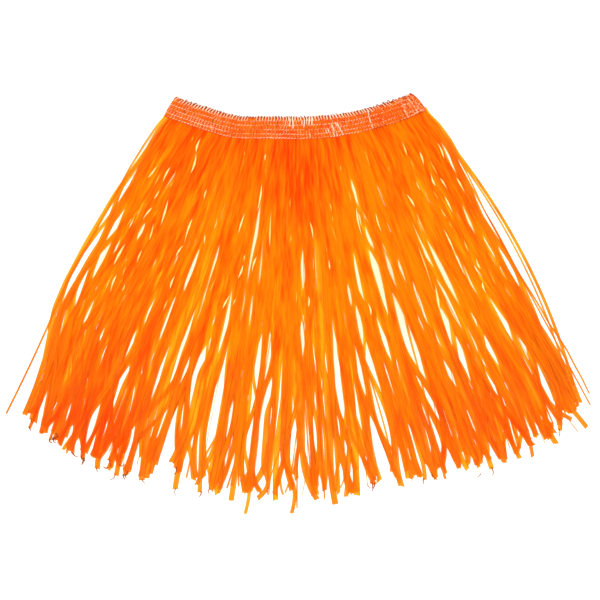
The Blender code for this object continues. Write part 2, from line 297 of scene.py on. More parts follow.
# Strands that stand out from the rest, by three points on them, the last their tip.
MARKED = (
    # a_across, a_down, b_across, b_down, tip_across, tip_down, wide, tone, layer
    (53.0, 312.0, 29.0, 365.0, 5.5, 413.0, 2.0, 0.4, 1),
    (455.5, 150.5, 544.5, 301.0, 573.5, 385.0, 3.2, 0.4, 1),
    (453.0, 153.5, 536.0, 305.0, 590.0, 404.5, 1.6, 0.8, 1),
    (454.0, 152.0, 540.0, 301.0, 566.0, 374.0, 1.8, 0.2, 1),
    (190.0, 436.0, 180.0, 462.0, 174.5, 489.0, 5.4, 0.5, 1),
    (201.0, 430.0, 200.0, 462.0, 199.0, 492.0, 4.4, -0.5, 1),
    (196.0, 430.0, 194.0, 455.0, 195.0, 477.5, 4.6, 0.4, 0),
    (204.0, 430.0, 203.0, 455.0, 203.5, 477.0, 4.2, -0.2, 0),
    (222.0, 420.0, 216.0, 460.0, 210.0, 490.0, 5.2, -0.2, 1),
    (216.0, 440.0, 214.5, 470.0, 216.5, 494.0, 4.6, 0.3, 0),
    (234.0, 450.0, 225.0, 473.0, 218.0, 493.0, 2.6, 0.6, 1),
    (241.0, 420.0, 236.0, 462.0, 230.5, 500.5, 5.6, -0.6, 1),
    (243.0, 450.0, 249.0, 485.0, 244.5, 513.5, 3.4, 0.2, 1),
    (262.0, 470.0, 268.0, 478.0, 257.0, 498.0, 4.8, 0.3, 1),
    (283.0, 400.0, 276.0, 455.0, 275.0, 500.0, 5.6, -0.4, 1),
    (267.0, 450.0, 267.0, 475.0, 267.5, 494.5, 1.6, 0.8, 1),
    (281.0, 462.0, 291.0, 478.0, 291.0, 513.0, 3.8, 0.9, 1),
    (297.0, 440.0, 296.5, 480.0, 296.5, 508.0, 1.5, 0.4, 1),
    (302.0, 460.0, 309.0, 485.0, 316.5, 499.0, 5.6, -0.2, 1),
    (322.0, 470.0, 323.5, 485.0, 324.0, 498.5, 1.6, 0.6, 1),
    (330.0, 440.0, 331.0, 478.0, 335.0, 504.0, 6.4, 0.3, 1),
    (349.0, 430.0, 348.0, 465.0, 345.5, 496.5, 4.4, -0.5, 1),
    (354.0, 430.0, 355.5, 465.0, 356.5, 495.0, 6.6, -0.3, 1),
    (349.0, 429.0, 362.0, 458.0, 374.0, 479.0, 3.0, 0.5, 1),
    (365.5, 440.0, 374.0, 463.0, 380.0, 480.0, 4.2, 0.1, 1),
    (371.5, 400.0, 377.5, 424.0, 396.0, 455.0, 3.0, 0.6, 1),
    (395.0, 440.0, 397.0, 470.0, 401.0, 486.0, 6.0, -0.2, 1),
    (418.0, 450.0, 424.0, 470.0, 424.5, 479.5, 4.0, 0.3, 1),
    (425.0, 440.0, 431.0, 465.0, 436.0, 478.0, 5.4, 0.1, 1),
    (441.0, 460.0, 443.0, 472.0, 445.0, 479.0, 2.6, 0.6, 1),
    (456.0, 440.0, 461.0, 458.0, 467.5, 469.0, 5.0, -0.3, 1),
    (486.0, 452.0, 489.0, 461.0, 491.5, 468.5, 5.0, -0.5, 1),
    (499.0, 440.0, 502.0, 455.0, 504.0, 462.5, 5.2, 0.1, 1),
    (508.0, 430.0, 514.0, 447.0, 519.5, 458.0, 4.6, 0.4, 1),
    (527.0, 430.0, 530.5, 446.0, 532.5, 456.5, 3.6, 0.6, 1),
    (545.0, 420.0, 550.0, 434.0, 556.0, 443.5, 5.4, -0.1, 1),
    (568.0, 405.0, 577.0, 415.0, 586.5, 427.0, 4.6, 0.1, 1),
    (36.0, 385.0, 29.0, 402.0, 23.5, 414.5, 5.2, -0.8, 1),
    (44.0, 380.0, 38.0, 402.0, 34.0, 422.0, 4.6, 0.2, 1),
    (156.0, 400.0, 146.0, 440.0, 141.0, 480.0, 6.0, -0.2, 1),
    (163.0, 395.0, 153.0, 438.0, 146.0, 478.0, 5.4, 0.1, 1),
    (168.0, 405.0, 152.0, 424.0, 139.0, 437.0, 3.4, 0.6, 1),
    (188.0, 424.0, 178.0, 448.0, 170.5, 462.0, 5.6, 0.7, 1),
    (104.0, 440.0, 98.0, 455.0, 96.5, 468.5, 5.4, 0.5, 1),
    (122.0, 440.0, 118.0, 462.0, 115.5, 475.5, 5.0, 0.4, 1),
)

# Painted shade where many strands lie on each other: the colour is painted deeper there, and lighter where few do.
PAINTED_LAYER_DEPTH = (
    # across, down, reach_across, reach_down, by
    (300.0, 160.0, 30.0, 50.0, 1.00),
    (300.0, 130.0, 170.0, 26.0, 0.62),
    (148.0, 128.0, 22.0, 20.0, 0.35),
    (362.0, 205.0, 30.0, 75.0, -1.05),
    (238.0, 205.0, 30.0, 42.0, -0.15),
    (268.0, 268.0, 24.0, 45.0, -0.60),
    (432.0, 165.0, 30.0, 50.0, -0.60),
    (412.0, 262.0, 40.0, 60.0, -1.00),
    (104.0, 265.0, 34.0, 46.0, -0.70),
    (212.0, 325.0, 36.0, 45.0, -0.30),
    (165.0, 300.0, 26.0, 40.0, 0.65),
    (136.0, 345.0, 34.0, 52.0, 0.90),
    (325.0, 310.0, 28.0, 62.0, -0.55),
    (490.0, 290.0, 32.0, 50.0, -0.50),
    (255.0, 420.0, 55.0, 45.0, -0.38),
    (215.0, 250.0, 26.0, 40.0, -0.40),
    (194.0, 438.0, 26.0, 40.0, -0.45),
    (60.0, 420.0, 60.0, 45.0, 1.35),
    (118.0, 440.0, 42.0, 38.0, 1.30),
    (450.0, 430.0, 38.0, 45.0, 0.65),
    (500.0, 405.0, 60.0, 40.0, 0.35),
    (530.0, 430.0, 60.0, 22.0, 0.70),
    (277.0, 195.0, 18.0, 36.0, 0.40),
    (442.0, 300.0, 32.0, 45.0, -0.65),
    (350.0, 480.0, 60.0, 26.0, 0.25),
)

# Painted highlights: small pale slivers laid on the strands, coloured as film that catches the light.
PAINTED_GLINTS = (
    # across, down, long, wide, lean_deg
    (192.0, 139.0, 6.0, 1.6, -22.0),
    (198.0, 145.0, 14.0, 3.5, -18.0),
    (404.0, 148.0, 14.0, 2.6, 20.0),
    (440.0, 150.0, 17.0, 3.0, 23.0),
    (244.0, 153.0, 5.0, 1.6, -7.0),
    (384.0, 155.0, 11.0, 1.3, 18.0),
    (265.0, 157.0, 6.0, 2.7, -6.0),
    (421.0, 158.0, 13.0, 3.2, 19.0),
    (367.0, 158.0, 19.0, 1.7, 16.0),
    (243.0, 162.0, 12.0, 1.0, -3.0),
    (193.0, 163.0, 20.0, 3.4, -15.0),
    (433.0, 167.0, 16.0, 2.0, 30.0),
    (340.0, 168.0, 6.0, 1.9, 4.0),
    (388.0, 169.0, 4.0, 1.8, 2.0),
    (265.0, 170.0, 6.0, 1.0, 0.0),
    (152.0, 171.0, 15.0, 2.9, -36.0),
    (166.0, 174.0, 16.0, 3.0, -26.0),
    (433.0, 179.0, 13.0, 3.6, 20.0),
    (156.0, 180.0, 14.0, 2.0, -27.0),
    (171.0, 183.0, 9.0, 1.9, -27.0),
    (443.0, 183.0, 12.0, 2.9, 32.0),
    (460.0, 185.0, 17.0, 3.0, 29.0),
    (418.0, 185.0, 10.0, 2.4, 24.0),
    (156.0, 194.0, 10.0, 2.7, -31.0),
    (205.0, 194.0, 10.0, 2.7, -13.0),
    (435.0, 195.0, 11.0, 1.8, 30.0),
    (349.0, 196.0, 11.0, 1.9, 13.0),
    (259.0, 197.0, 26.0, 3.0, -9.0),
    (410.0, 200.0, 15.0, 3.4, 34.0),
    (290.0, 202.0, 10.0, 1.7, -2.0),
    (432.0, 203.0, 7.0, 1.3, 38.0),
    (448.0, 204.0, 18.0, 3.2, 26.0),
    (146.0, 204.0, 6.0, 1.3, -27.0),
    (330.0, 207.0, 9.0, 2.1, 13.0),
    (443.0, 212.0, 11.0, 2.3, 31.0),
    (164.0, 212.0, 26.0, 3.5, -16.0),
    (147.0, 213.0, 15.0, 3.0, -38.0),
    (365.0, 217.0, 14.0, 2.1, 28.0),
    (332.0, 218.0, 6.0, 1.8, 7.0),
    (378.0, 222.0, 19.0, 2.8, 17.0),
    (359.0, 222.0, 29.0, 3.3, 12.0),
    (129.0, 222.0, 11.0, 2.0, -32.0),
    (215.0, 223.0, 12.0, 2.3, -16.0),
    (241.0, 223.0, 20.0, 3.0, -17.0),
    (421.0, 224.0, 24.0, 2.3, 24.0),
    (450.0, 224.0, 7.0, 1.9, 24.0),
    (270.0, 229.0, 35.0, 2.6, -2.0),
    (188.0, 230.0, 25.0, 3.2, -18.0),
    (311.0, 230.0, 17.0, 2.8, 10.0),
    (151.0, 231.0, 17.0, 2.7, -14.0),
    (246.0, 234.0, 5.0, 1.2, -4.0),
    (334.0, 234.0, 22.0, 1.7, 20.0),
    (290.0, 237.0, 9.0, 2.0, -1.0),
    (204.0, 239.0, 9.0, 2.7, -6.0),
    (449.0, 241.0, 27.0, 3.0, 25.0),
    (466.0, 246.0, 12.0, 2.3, 22.0),
    (326.0, 248.0, 7.0, 1.6, 6.0),
    (179.0, 251.0, 14.0, 2.9, -31.0),
    (119.0, 254.0, 23.0, 4.4, -28.0),
    (139.0, 256.0, 13.0, 2.7, -22.0),
    (244.0, 258.0, 7.0, 2.4, -7.0),
    (339.0, 262.0, 7.0, 1.5, 3.0),
    (478.0, 263.0, 11.0, 3.2, 22.0),
    (254.0, 264.0, 15.0, 3.4, -15.0),
    (329.0, 264.0, 10.0, 2.8, 6.0),
    (425.0, 268.0, 46.0, 2.4, 19.0),
    (240.0, 271.0, 14.0, 3.6, -20.0),
    (124.0, 271.0, 10.0, 2.1, -21.0),
    (491.0, 276.0, 19.0, 1.9, 26.0),
    (172.0, 282.0, 13.0, 3.3, -20.0),
    (113.0, 283.0, 18.0, 3.3, -19.0),
    (108.0, 283.0, 11.0, 2.3, -21.0),
    (213.0, 284.0, 17.0, 2.0, -23.0),
    (123.0, 287.0, 8.0, 2.5, -22.0),
    (484.0, 287.0, 11.0, 3.6, 21.0),
    (437.0, 297.0, 25.0, 4.6, 10.0),
    (296.0, 297.0, 12.0, 1.9, -1.0),
    (308.0, 301.0, 10.0, 3.0, 0.0),
    (234.0, 301.0, 7.0, 2.4, -24.0),
    (226.0, 301.0, 16.0, 3.2, -28.0),
    (165.0, 305.0, 11.0, 2.3, -21.0),
    (369.0, 309.0, 12.0, 3.4, 14.0),
)

# Where fine fibres curl at the cut ends.
CURLS = (
    # at_deg, reach_deg, count
    (-25.2, 0.6, 2),
    (-22.4, 1.0, 5),
    (-20.0, 0.8, 5),
    (-17.4, 1.2, 6),
    (-15.0, 0.7, 3),
    (-11.6, 0.6, 2),
    (-8.0, 0.8, 2),
    (6.6, 0.6, 3),
    (11.0, 1.0, 2),
    (17.6, 1.2, 2),
    (24.6, 0.5, 1),
)

# The band's two ends.
ENDS = (
    # down, left_deg, right_deg
    (0.0, -27.35, 25.8),
    (0.2, -27.6, 26.35),
    (0.4, -27.7, 26.7),
    (0.8, -27.75, 27.0),
    (1.0, -27.8, 27.1),
)

# How far down the band its rows of chain stitch run.
ROWS = (0.175, 0.375, 0.585, 0.79, 0.965)

# Where the band's cloth is redder.
REDDER = (
    # across, down, reach_across, reach_down, by
    (286.0, 133.0, 9.0, 6.0, 1.1),
    (322.0, 128.0, 10.0, 5.0, 0.5),
    (186.0, 105.0, 9.0, 4.0, 0.5),
    (212.0, 114.0, 14.0, 4.0, 0.4),
    (376.0, 117.0, 16.0, 6.0, 0.4),
    (338.0, 119.0, 9.0, 3.0, 0.4),
    (230.0, 131.0, 16.0, 5.0, 0.4),
    (248.0, 124.0, 14.0, 5.0, -0.3),
    (308.0, 125.0, 12.0, 4.0, -0.4),
)

# Where the rows are paler.
PALER_ROWS = (
    # across, reach, by
    (188.0, 22.0, 0.30),
    (212.0, 9.0, 0.15),
    (274.0, 9.0, 0.20),
    (300.0, 14.0, 0.10),
    (345.0, 10.0, 0.10),
    (385.0, 22.0, -0.20),
)

# Where the stitch heads along the top edge show pale.
PALE_HEADS = (
    # across, down, reach_along, reach_down, by
    (203.0, 106.0, 13.0, 4.0, 0.60),
    (290.0, 118.0, 5.0, 5.0, 0.60),
    (304.0, 118.0, 9.0, 5.0, 0.50),
    (333.0, 116.0, 12.0, 4.0, 0.60),
    (362.0, 111.0, 8.0, 4.0, 0.35),
    (270.0, 118.0, 8.0, 4.0, 0.20),
)

# Where the short stitches between the rows show.
TICKED = (
    # across, down, reach_along, reach_down, by
    (178.0, 114.0, 16.0, 6.0, 0.60),
    (197.0, 121.0, 14.0, 5.0, 0.55),
    (212.0, 125.0, 13.0, 6.0, 0.45),
    (225.0, 122.0, 10.0, 6.0, 0.30),
    (283.0, 125.0, 8.0, 10.0, 0.40),
    (330.0, 129.0, 9.0, 6.0, 0.35),
    (336.0, 126.0, 8.0, 8.0, 0.40),
    (300.0, 124.0, 14.0, 4.0, 0.30),
    (352.0, 119.0, 12.0, 6.0, 0.15),
    (385.0, 122.0, 10.0, 4.0, 0.15),
)

# Long stitches that stand out on the band's front half, with their two ends on the layout square.
# Those with a negative tone are dark: painted shade between the pale floats.
FLOATS = (
    # a_across, a_down, b_across, b_down, thick, tone
    (276.6, 116.8, 276.4, 127.5, 0.8, -0.35),
    (289.6, 117.6, 289.2, 126.2, 1.1, 1.05),
    (292.0, 117.2, 292.6, 128.4, 1.2, 1.1),
    (286.0, 118.4, 284.6, 125.0, 0.9, 0.4),
    (301.6, 119.8, 301.4, 125.0, 0.9, 0.9),
    (303.9, 119.2, 303.3, 127.0, 1.1, 1.0),
    (308.6, 117.0, 308.4, 125.2, 1.2, 1.15),
    (311.2, 117.2, 311.4, 125.0, 1.2, 1.15),
    (305.9, 118.5, 306.0, 124.6, 0.8, 0.7),
    (302.7, 121.0, 302.6, 124.6, 0.8, -0.5),
    (310.0, 120.4, 309.9, 124.6, 0.7, -0.45),
    (290.8, 120.4, 290.7, 125.4, 0.8, -0.6),
    (325.0, 128.6, 326.2, 133.2, 0.9, 0.7),
    (327.0, 127.8, 328.4, 132.6, 0.9, 0.8),
    (330.6, 123.8, 331.8, 128.2, 0.9, 0.7),
    (332.0, 125.6, 333.6, 131.2, 1.0, 0.9),
    (334.6, 121.8, 336.2, 126.2, 1.0, 0.9),
    (336.6, 122.4, 338.4, 127.2, 1.1, 1.0),
    (339.0, 126.8, 340.4, 131.4, 1.0, 0.9),
    (333.0, 132.4, 334.2, 136.4, 1.0, 0.9),
    (336.0, 132.6, 337.2, 136.0, 0.9, 0.7),
    (341.0, 131.2, 342.2, 133.4, 0.8, 0.8),
    (309.0, 132.6, 310.4, 137.4, 0.9, 0.55),
    (366.6, 109.0, 368.2, 116.2, 0.9, 0.85),
    (368.0, 115.6, 370.4, 123.4, 0.95, 0.9),
    (371.0, 124.2, 371.6, 127.2, 0.9, 0.8),
    (369.8, 110.4, 369.9, 115.0, 0.8, -0.4),
    (212.6, 118.6, 211.4, 124.0, 0.9, -0.45),
    (211.6, 125.2, 210.6, 129.6, 0.9, 0.4),
    (183.8, 110.2, 184.6, 112.8, 0.9, -0.55),
)

# Loose loops of thread above the band's top edge, by their tops; they are drawn dark, as painted shade.
LOOPS = (
    # across, down, wide, tone
    (186.2, 99.2, 1.2, -0.4),
    (191.0, 101.2, 1.2, -0.2),
    (196.0, 102.4, 1.4, -0.8),
    (206.4, 106.2, 1.6, -0.9),
    (213.0, 108.4, 1.2, -0.3),
    (278.4, 115.6, 1.3, -0.8),
    (286.4, 116.4, 1.2, -1.0),
    (322.6, 115.0, 1.3, -0.4),
    (342.8, 112.8, 1.4, -0.8),
    (345.6, 112.6, 1.2, -0.6),
    (376.4, 104.0, 1.6, -0.9),
    (382.2, 101.6, 1.7, -1.1),
    (387.2, 99.8, 1.7, -1.1),
    (392.2, 98.6, 1.6, -1.0),
    (398.2, 97.2, 1.4, -0.6),
    (403.4, 95.6, 1.4, -0.7),
)

# Stitches that hold the side join's lap down.
JOIN_STITCHES = (
    # a_across, a_down, b_across, b_down, thick, tone
    (406.6, 98.2, 416.8, 112.2, 0.8, 0.62),
    (410.4, 97.2, 418.6, 108.6, 0.7, 0.30),
    (403.0, 109.4, 407.9, 117.6, 0.8, 0.70),
    (414.4, 113.2, 422.4, 109.2, 0.8, 0.62),
    (401.6, 105.2, 404.4, 103.8, 0.9, 0.5),
)

SLIVERS, FIBRES = 40, 24

# Colours and how far they vary, from light where a strand lies alone to deep where many do; the deep end also carries
# painted shade for many layers.
FILM = {
    "level": 0.320,
    "lighter_low": 0.095,
    "tone": 0.26,
    "lane": 1.15,
    "cross": 0.85,
    "fine": 1.35,
    "patch": 0.5,
    "edge": 0.30,
    "gloss": 0.03,
    "share": 0.56,
    "face_light": (1.0, 0.245, 0.0),
    "face_deep": (1.0, 0.064, 0.0),
    "through_light": (1.0, 0.97, 0.15),
    "through_deep": (1.0, 0.48, 0.06),
    "rim": (1.0, 0.40, 0.02),
    "pale": (1.0, 0.84, 0.44),
    "burnt": (0.60, 0.13, 0.006),
    "fibre": (0.30, 0.085, 0.018),
    "face_low": (0.97, 0.36, 0.07),
    "through_low": (0.88, 0.54, 0.13),
    "line": 0.70,
    "frost_face": 0.06,
    "frost_through": 0.50,
    "frost_share": 0.12,
    "hem_tone": 0.08,
    "outer": 0.90,
}
BAND = {"light": (0.88, 0.165, 0.002), "deep": (0.72, 0.048, 0.0)}
THREAD = {
    "peach": (1.0, 0.26, 0.07), "cream": (1.0, 0.68, 0.50), "burnt": (0.56, 0.085, 0.012), "dark": (0.22, 0.055, 0.016),
    "shade": (0.85, 0.55, 0.42),
}
GROUND = {"plain": (0.92, 0.92, 0.92), "painted_glow": (0.92, 0.68, 0.46)}
LIGHT = {"world": 0.72, "sun": 1.45, "soft_deg": 36.0, "shines": (0.20, -0.26, -1.0), "exposure": 0.50}

# ---- strand paths -------------------------------------------------------------------------------------------------
STEPS = 92  # points along each strand
BENDS = 15  # how many places along a strand it can bend
flow = np.array(FLOW)
hem = np.array(HEM)
edges = np.array(EDGES)


def flow_line(root_deg, along):
    """The angle of the flow line that leaves the band at root_deg, where along runs from 0 at the band to 1 at HEM_R.
    The outermost lines follow the skirt's edges, and the others bow with them, less and less towards the middle."""
    root_deg, along = np.broadcast_arrays(np.asarray(root_deg, float), np.asarray(along, float))
    end = np.interp(root_deg, flow[:, 0], flow[:, 1])
    radius = ROOT_R * (HEM_R / ROOT_R) ** along
    first, last = flow[0], flow[-1]
    bow_left = np.interp(radius, edges[:, 0], edges[:, 1]) + 0.35 - (first[0] + (first[1] - first[0]) * along)
    bow_right = np.interp(radius, edges[:, 0], edges[:, 2]) - 0.35 - (last[0] + (last[1] - last[0]) * along)
    share = np.where(end < 0.0, end / first[1], end / last[1])
    return root_deg + (end - root_deg) * along + share**3 * np.where(end < 0.0, bow_left, bow_right)


def along_of(radius):
    return np.log(np.maximum(radius, 200.0) / ROOT_R) / math.log(HEM_R / ROOT_R)


def root_through(degrees, radius):
    """Which root's flow line passes through a point."""
    roots = np.linspace(-27.6, 27.2, 800)
    return float(np.interp(degrees, flow_line(roots, along_of(radius)), roots))


def bend_basis():
    """Cubic B-spline weights of BENDS values at STEPS points."""
    knots = np.concatenate([np.zeros(3), np.linspace(0.0, 1.0, BENDS - 2), np.ones(3)])
    t = np.linspace(0.0, 1.0 - 1e-9, STEPS)
    weights = ((t[:, None] >= knots[None, :-1]) & (t[:, None] < knots[None, 1:])).astype(float)
    for order in (1, 2, 3):
        left = knots[order:-1] - knots[: -order - 1]
        right = knots[order + 1 :] - knots[1:-order]
        a = np.where(left > 0, (t[:, None] - knots[None, : -order - 1]) / np.where(left > 0, left, 1.0), 0.0)
        b = np.where(right > 0, (knots[None, order + 1 :] - t[:, None]) / np.where(right > 0, right, 1.0), 0.0)
        weights = a * weights[:, :-1] + b * weights[:, 1:]
    return weights


BASIS = bend_basis()
STIFF = np.diff(np.eye(BENDS), 2, axis=0)
STIFF = STIFF.T @ STIFF


def gap_rows():
    """Partings and notches as middles, directions, half lengths, half widths and widest places."""
    rows = []
    for across, down, long, wide, lean, widest in PARTINGS:
        turn = math.radians(lean)
        rows.append((*spot(across, down), math.sin(turn), -math.cos(turn), long / 2.0, wide / 2.0, widest))
    for top_across, top_down, mouth_across, mouth_down, wide in NOTCHES:
        top, mouth = spot(top_across, top_down), spot(mouth_across, mouth_down)
        middle, way = (top + mouth) / 2.0, (mouth - top) / math.dist(mouth, top)
        rows.append((*middle, *way, math.dist(mouth, top) / 2.0, wide / 2.0, 0.98))
    return np.array(rows)


GAPS = gap_rows()


def gap_width(s, widest, half_wide):
    """Half the width of a gap at s, from -1 at its top to 1 at its foot."""
    t = np.where(s < widest, (widest - s) / (widest + 1.0), (s - widest) / (1.0 - widest))
    t = np.where((widest > 0.9) & (s >= widest), 0.0, t)
    return half_wide * (1.0 - np.clip(t, 0.0, 1.0) ** 1.5)


def steer(base, side, bends, wide, obey, rounds=8, extra=0.3):
    """Bend strands smoothly so that they pass beside every gap, each on the side it is on."""
    shift = bends @ BASIS.T
    path = base + side * shift[..., None]
    probe = path[:, ::6]
    far = np.hypot(probe[:, :, None, 0] - GAPS[None, None, :, 0], probe[:, :, None, 1] - GAPS[None, None, :, 1])
    rows = GAPS[(far < GAPS[None, None, :, 4] + 32.0).any(axis=(0, 1))]
    if not len(rows):
        return path
    gx, gy, wx, wy, half_long, half_wide, widest = (rows[:, k][None, None, :] for k in range(7))
    start = bends.copy()
    pull = 0.10 * start + 1.3 * (start @ STIFF)
    chosen = None
    outer = BASIS[:, :, None] * BASIS[:, None, :]
    into = np.sign(side[..., 0:1] * -wy + side[..., 1:2] * wx)  # how a sideways shift changes d
    for _ in range(rounds):
        rx, ry = path[..., 0:1] - gx, path[..., 1:2] - gy
        s = (rx * wx + ry * wy) / half_long
        d = -rx * wy + ry * wx
        if chosen is None:
            near_by = np.clip(1.0 - s * s, 0.0, None)
            mean = (d * near_by).sum(axis=1) / np.maximum(near_by.sum(axis=1), 1e-6)
            chosen = np.where(mean < 0, -1.0, 1.0)[:, None, :]
            open_end = widest > 0.9
        need = gap_width(s, widest, half_wide) + wide[..., None] / 2.0 + extra
        inside = (np.abs(s) < 0.97) | (open_end & (s >= 0.9) & (s < 1.6))
        push = np.where(inside & (np.abs(d) < 30.0), np.maximum(need - chosen * d, 0.0), 0.0) * obey[..., None]
        move = push * chosen * into
        up, down = move.max(axis=2), move.min(axis=2)
        target = shift + up + down
        weight = 0.2 + 4.0 * (up > 0.02) + 4.0 * (down < -0.02)
        left = (weight @ outer.reshape(STEPS, -1)).reshape(-1, BENDS, BENDS) + 1.3 * STIFF + 0.10 * np.eye(BENDS)
        left[:, 0, 0] += 1e4
        left[:, 1, 1] += 40.0
        right = (weight * target) @ BASIS + pull
        bends = np.linalg.solve(left, right[..., None])[..., 0]
        shift = bends @ BASIS.T
        path = base + side * shift[..., None]
    return path


# ---- a map of what is covered -------------------------------------------------------------------------------------
MAP_X, MAP_Y, MAP_W, MAP_H = -305.0, -220.0, 610, 440
cover_row, cover_col = np.mgrid[0:MAP_H, 0:MAP_W]
grid = np.stack([cover_col + MAP_X, cover_row + MAP_Y], axis=-1).astype(float)
grid_deg, grid_r = to_polar(grid)


def cells(points):
    col = np.clip(np.round(points[..., 0] - MAP_X).astype(int), 0, MAP_W - 1)
    row = np.clip(np.round(points[..., 1] - MAP_Y).astype(int), 0, MAP_H - 1)
    return row, col


def ribbon(path):
    """Unit sideways vectors along strands."""
    way = np.gradient(path, axis=-2)
    way /= np.maximum(np.linalg.norm(way, axis=-1, keepdims=True), 1e-9)
    return np.stack([-way[..., 1], way[..., 0]], axis=-1)


def spread(path, wide, sides, fine_along=5, fine_across=9):
    """Points all over a strand, closer together than the map's cells."""
    at = np.linspace(0.0, len(path) - 1.0, (len(path) - 1) * fine_along + 1)
    low = np.minimum(at.astype(int), len(path) - 2)
    part = (at - low)[:, None]
    centre = path[low] * (1 - part) + path[low + 1] * part
    half = (wide[low] * (1 - part[:, 0]) + wide[low + 1] * part[:, 0]) / 2.0
    side = sides[low] * (1 - part) + sides[low + 1] * part
    c = np.linspace(-1.0, 1.0, fine_across)
    return centre[:, None, :] + side[:, None, :] * (half[:, None] * c[None, :])[..., None], at, c


def strand_cells(path, wide):
    pts, _, _ = spread(path, np.maximum(wide - 0.7, 0.4), ribbon(path), 5, 7)
    row, col = cells(pts)
    return np.unique((row * MAP_W + col).ravel())


# What each cell is worth: gaps and the ground outside the skirt are to stay bare.
worth = np.ones((MAP_H, MAP_W))
worth[grid_deg < np.interp(grid_r, edges[:, 0], edges[:, 1])] = -1.0
worth[grid_deg > np.interp(grid_r, edges[:, 0], edges[:, 2])] = -1.0
into_left = grid_deg - np.interp(grid_r, edges[:, 0], edges[:, 1])
into_right = np.interp(grid_r, edges[:, 0], edges[:, 2]) - grid_deg
worth[(worth > 0) & (np.minimum(into_left, into_right) < 2.4) & (grid_r < 520.0)] = 2.4
worth[grid_r > np.interp(grid_deg, hem[:, 0], hem[:, 1]) - 14.0] = 0.25
worth[grid_r > np.interp(grid_deg, hem[:, 0], hem[:, 1]) + 3.0] = -1.0
axis_rows = []
for gx, gy, wx, wy, half_long, half_wide, widest in GAPS:
    rx, ry = grid[..., 0] - gx, grid[..., 1] - gy
    axis_rows.append(((rx * wx + ry * wy) / half_long, np.abs(-rx * wy + ry * wx)))
for (s, d), (_, _, _, _, half_long, half_wide, widest) in zip(axis_rows, GAPS):
    end = (np.abs(s) > 1.0) & (np.abs(s) < 1.0 + 9.0 / half_long) & (d < half_wide * 0.6 + 1.0) & ((s < 0) | (widest < 0.9))
    worth = np.where(end & (worth > 0), 2.6, worth)
for (s, d), (_, _, _, _, half_long, half_wide, widest) in zip(axis_rows, GAPS):
    b = np.where(np.abs(s) < 1.0, gap_width(s, np.full(s.shape, widest), half_wide), 0.0)
    worth = np.where((b > 0.3) & (d < b), -4.0 * np.clip((b - d) / 1.5 + 0.3, 0, 1), worth)
    worth = np.where((b > 0.3) & (d >= b) & (d < b + 0.8) & (worth > 0), 0.0, worth)
counts = np.zeros((MAP_H, MAP_W), int)
GAIN = np.array([1.0, 0.25, 0.05, -0.08, -0.2, -0.3, -0.4] + [-0.5] * 200)
PASSES = 1
FLANK_LEAST = -150.0
LINED = 0.6
GROW = 100
LIVELY = 6000.0


def score(found):
    """What a strand's cells add to what is covered already."""
    value = worth.ravel()[found]
    have = counts.ravel()[found]
    return float(np.where(value > 0, value * GAIN[np.minimum(have, 150)], value * np.where(have > 0, 0.6, 1.0)).sum())


def widths(base, steps):
    """A strand's width along it: uneven, and drawn in where it twists."""
    along = np.linspace(0.0, 1.0, steps)
    wide = np.full(steps, base)
    for wave in (1.3, 2.7, 5.1):
        wide *= 1.0 + 0.09 * math.sin(rng.uniform(0, 6.28)) * np.sin(2 * np.pi * wave * along + rng.uniform(0, 6.28))
    for _ in range(rng.poisson(1.1)):
        at, reach = rng.uniform(0.12, 0.97), rng.uniform(0.014, 0.04)
        wide *= 1.0 - rng.uniform(0.35, 0.7) * np.exp(-(((along - at) / reach) ** 2))
    return wide


def straight(root, tip_deg, tip_r, steps=STEPS):
    """The path that strands would take with no bends, and its sideways unit vectors, for rows of strands."""
    root, tip_deg, tip_r = (np.atleast_1d(np.asarray(a, float))[:, None] for a in (root, tip_deg, tip_r))
    t = np.linspace(0.0, 1.0, steps)[None, :]
    start = band_radius(root, 1.0) - 3.0
    radius = start + (tip_r - start) * t
    along = along_of(radius)
    end = flow_line(root, 1.0)
    degrees = flow_line(root, along) + (tip_deg - end) * np.clip(along, 0, 1.1) ** 1.2
    path = polar(degrees, radius)
    return path, ribbon(path)


def tip_radius(degrees, short):
    return np.interp(degrees, hem[:, 0], hem[:, 1]) - short


class Strands:
    def __init__(self):
        self.path, self.wide, self.tone, self.layer, self.kind = [], [], [], [], []

    def add(self, path, wide, tone, layer, kind=0):
        self.path.append(path)
        self.wide.append(wide)
        self.tone.append(tone)
        self.layer.append(layer)
        self.kind.append(kind)
        if kind < 2:
            found = strand_cells(path, wide)
            counts.ravel()[found] += 1


strands = Strands()


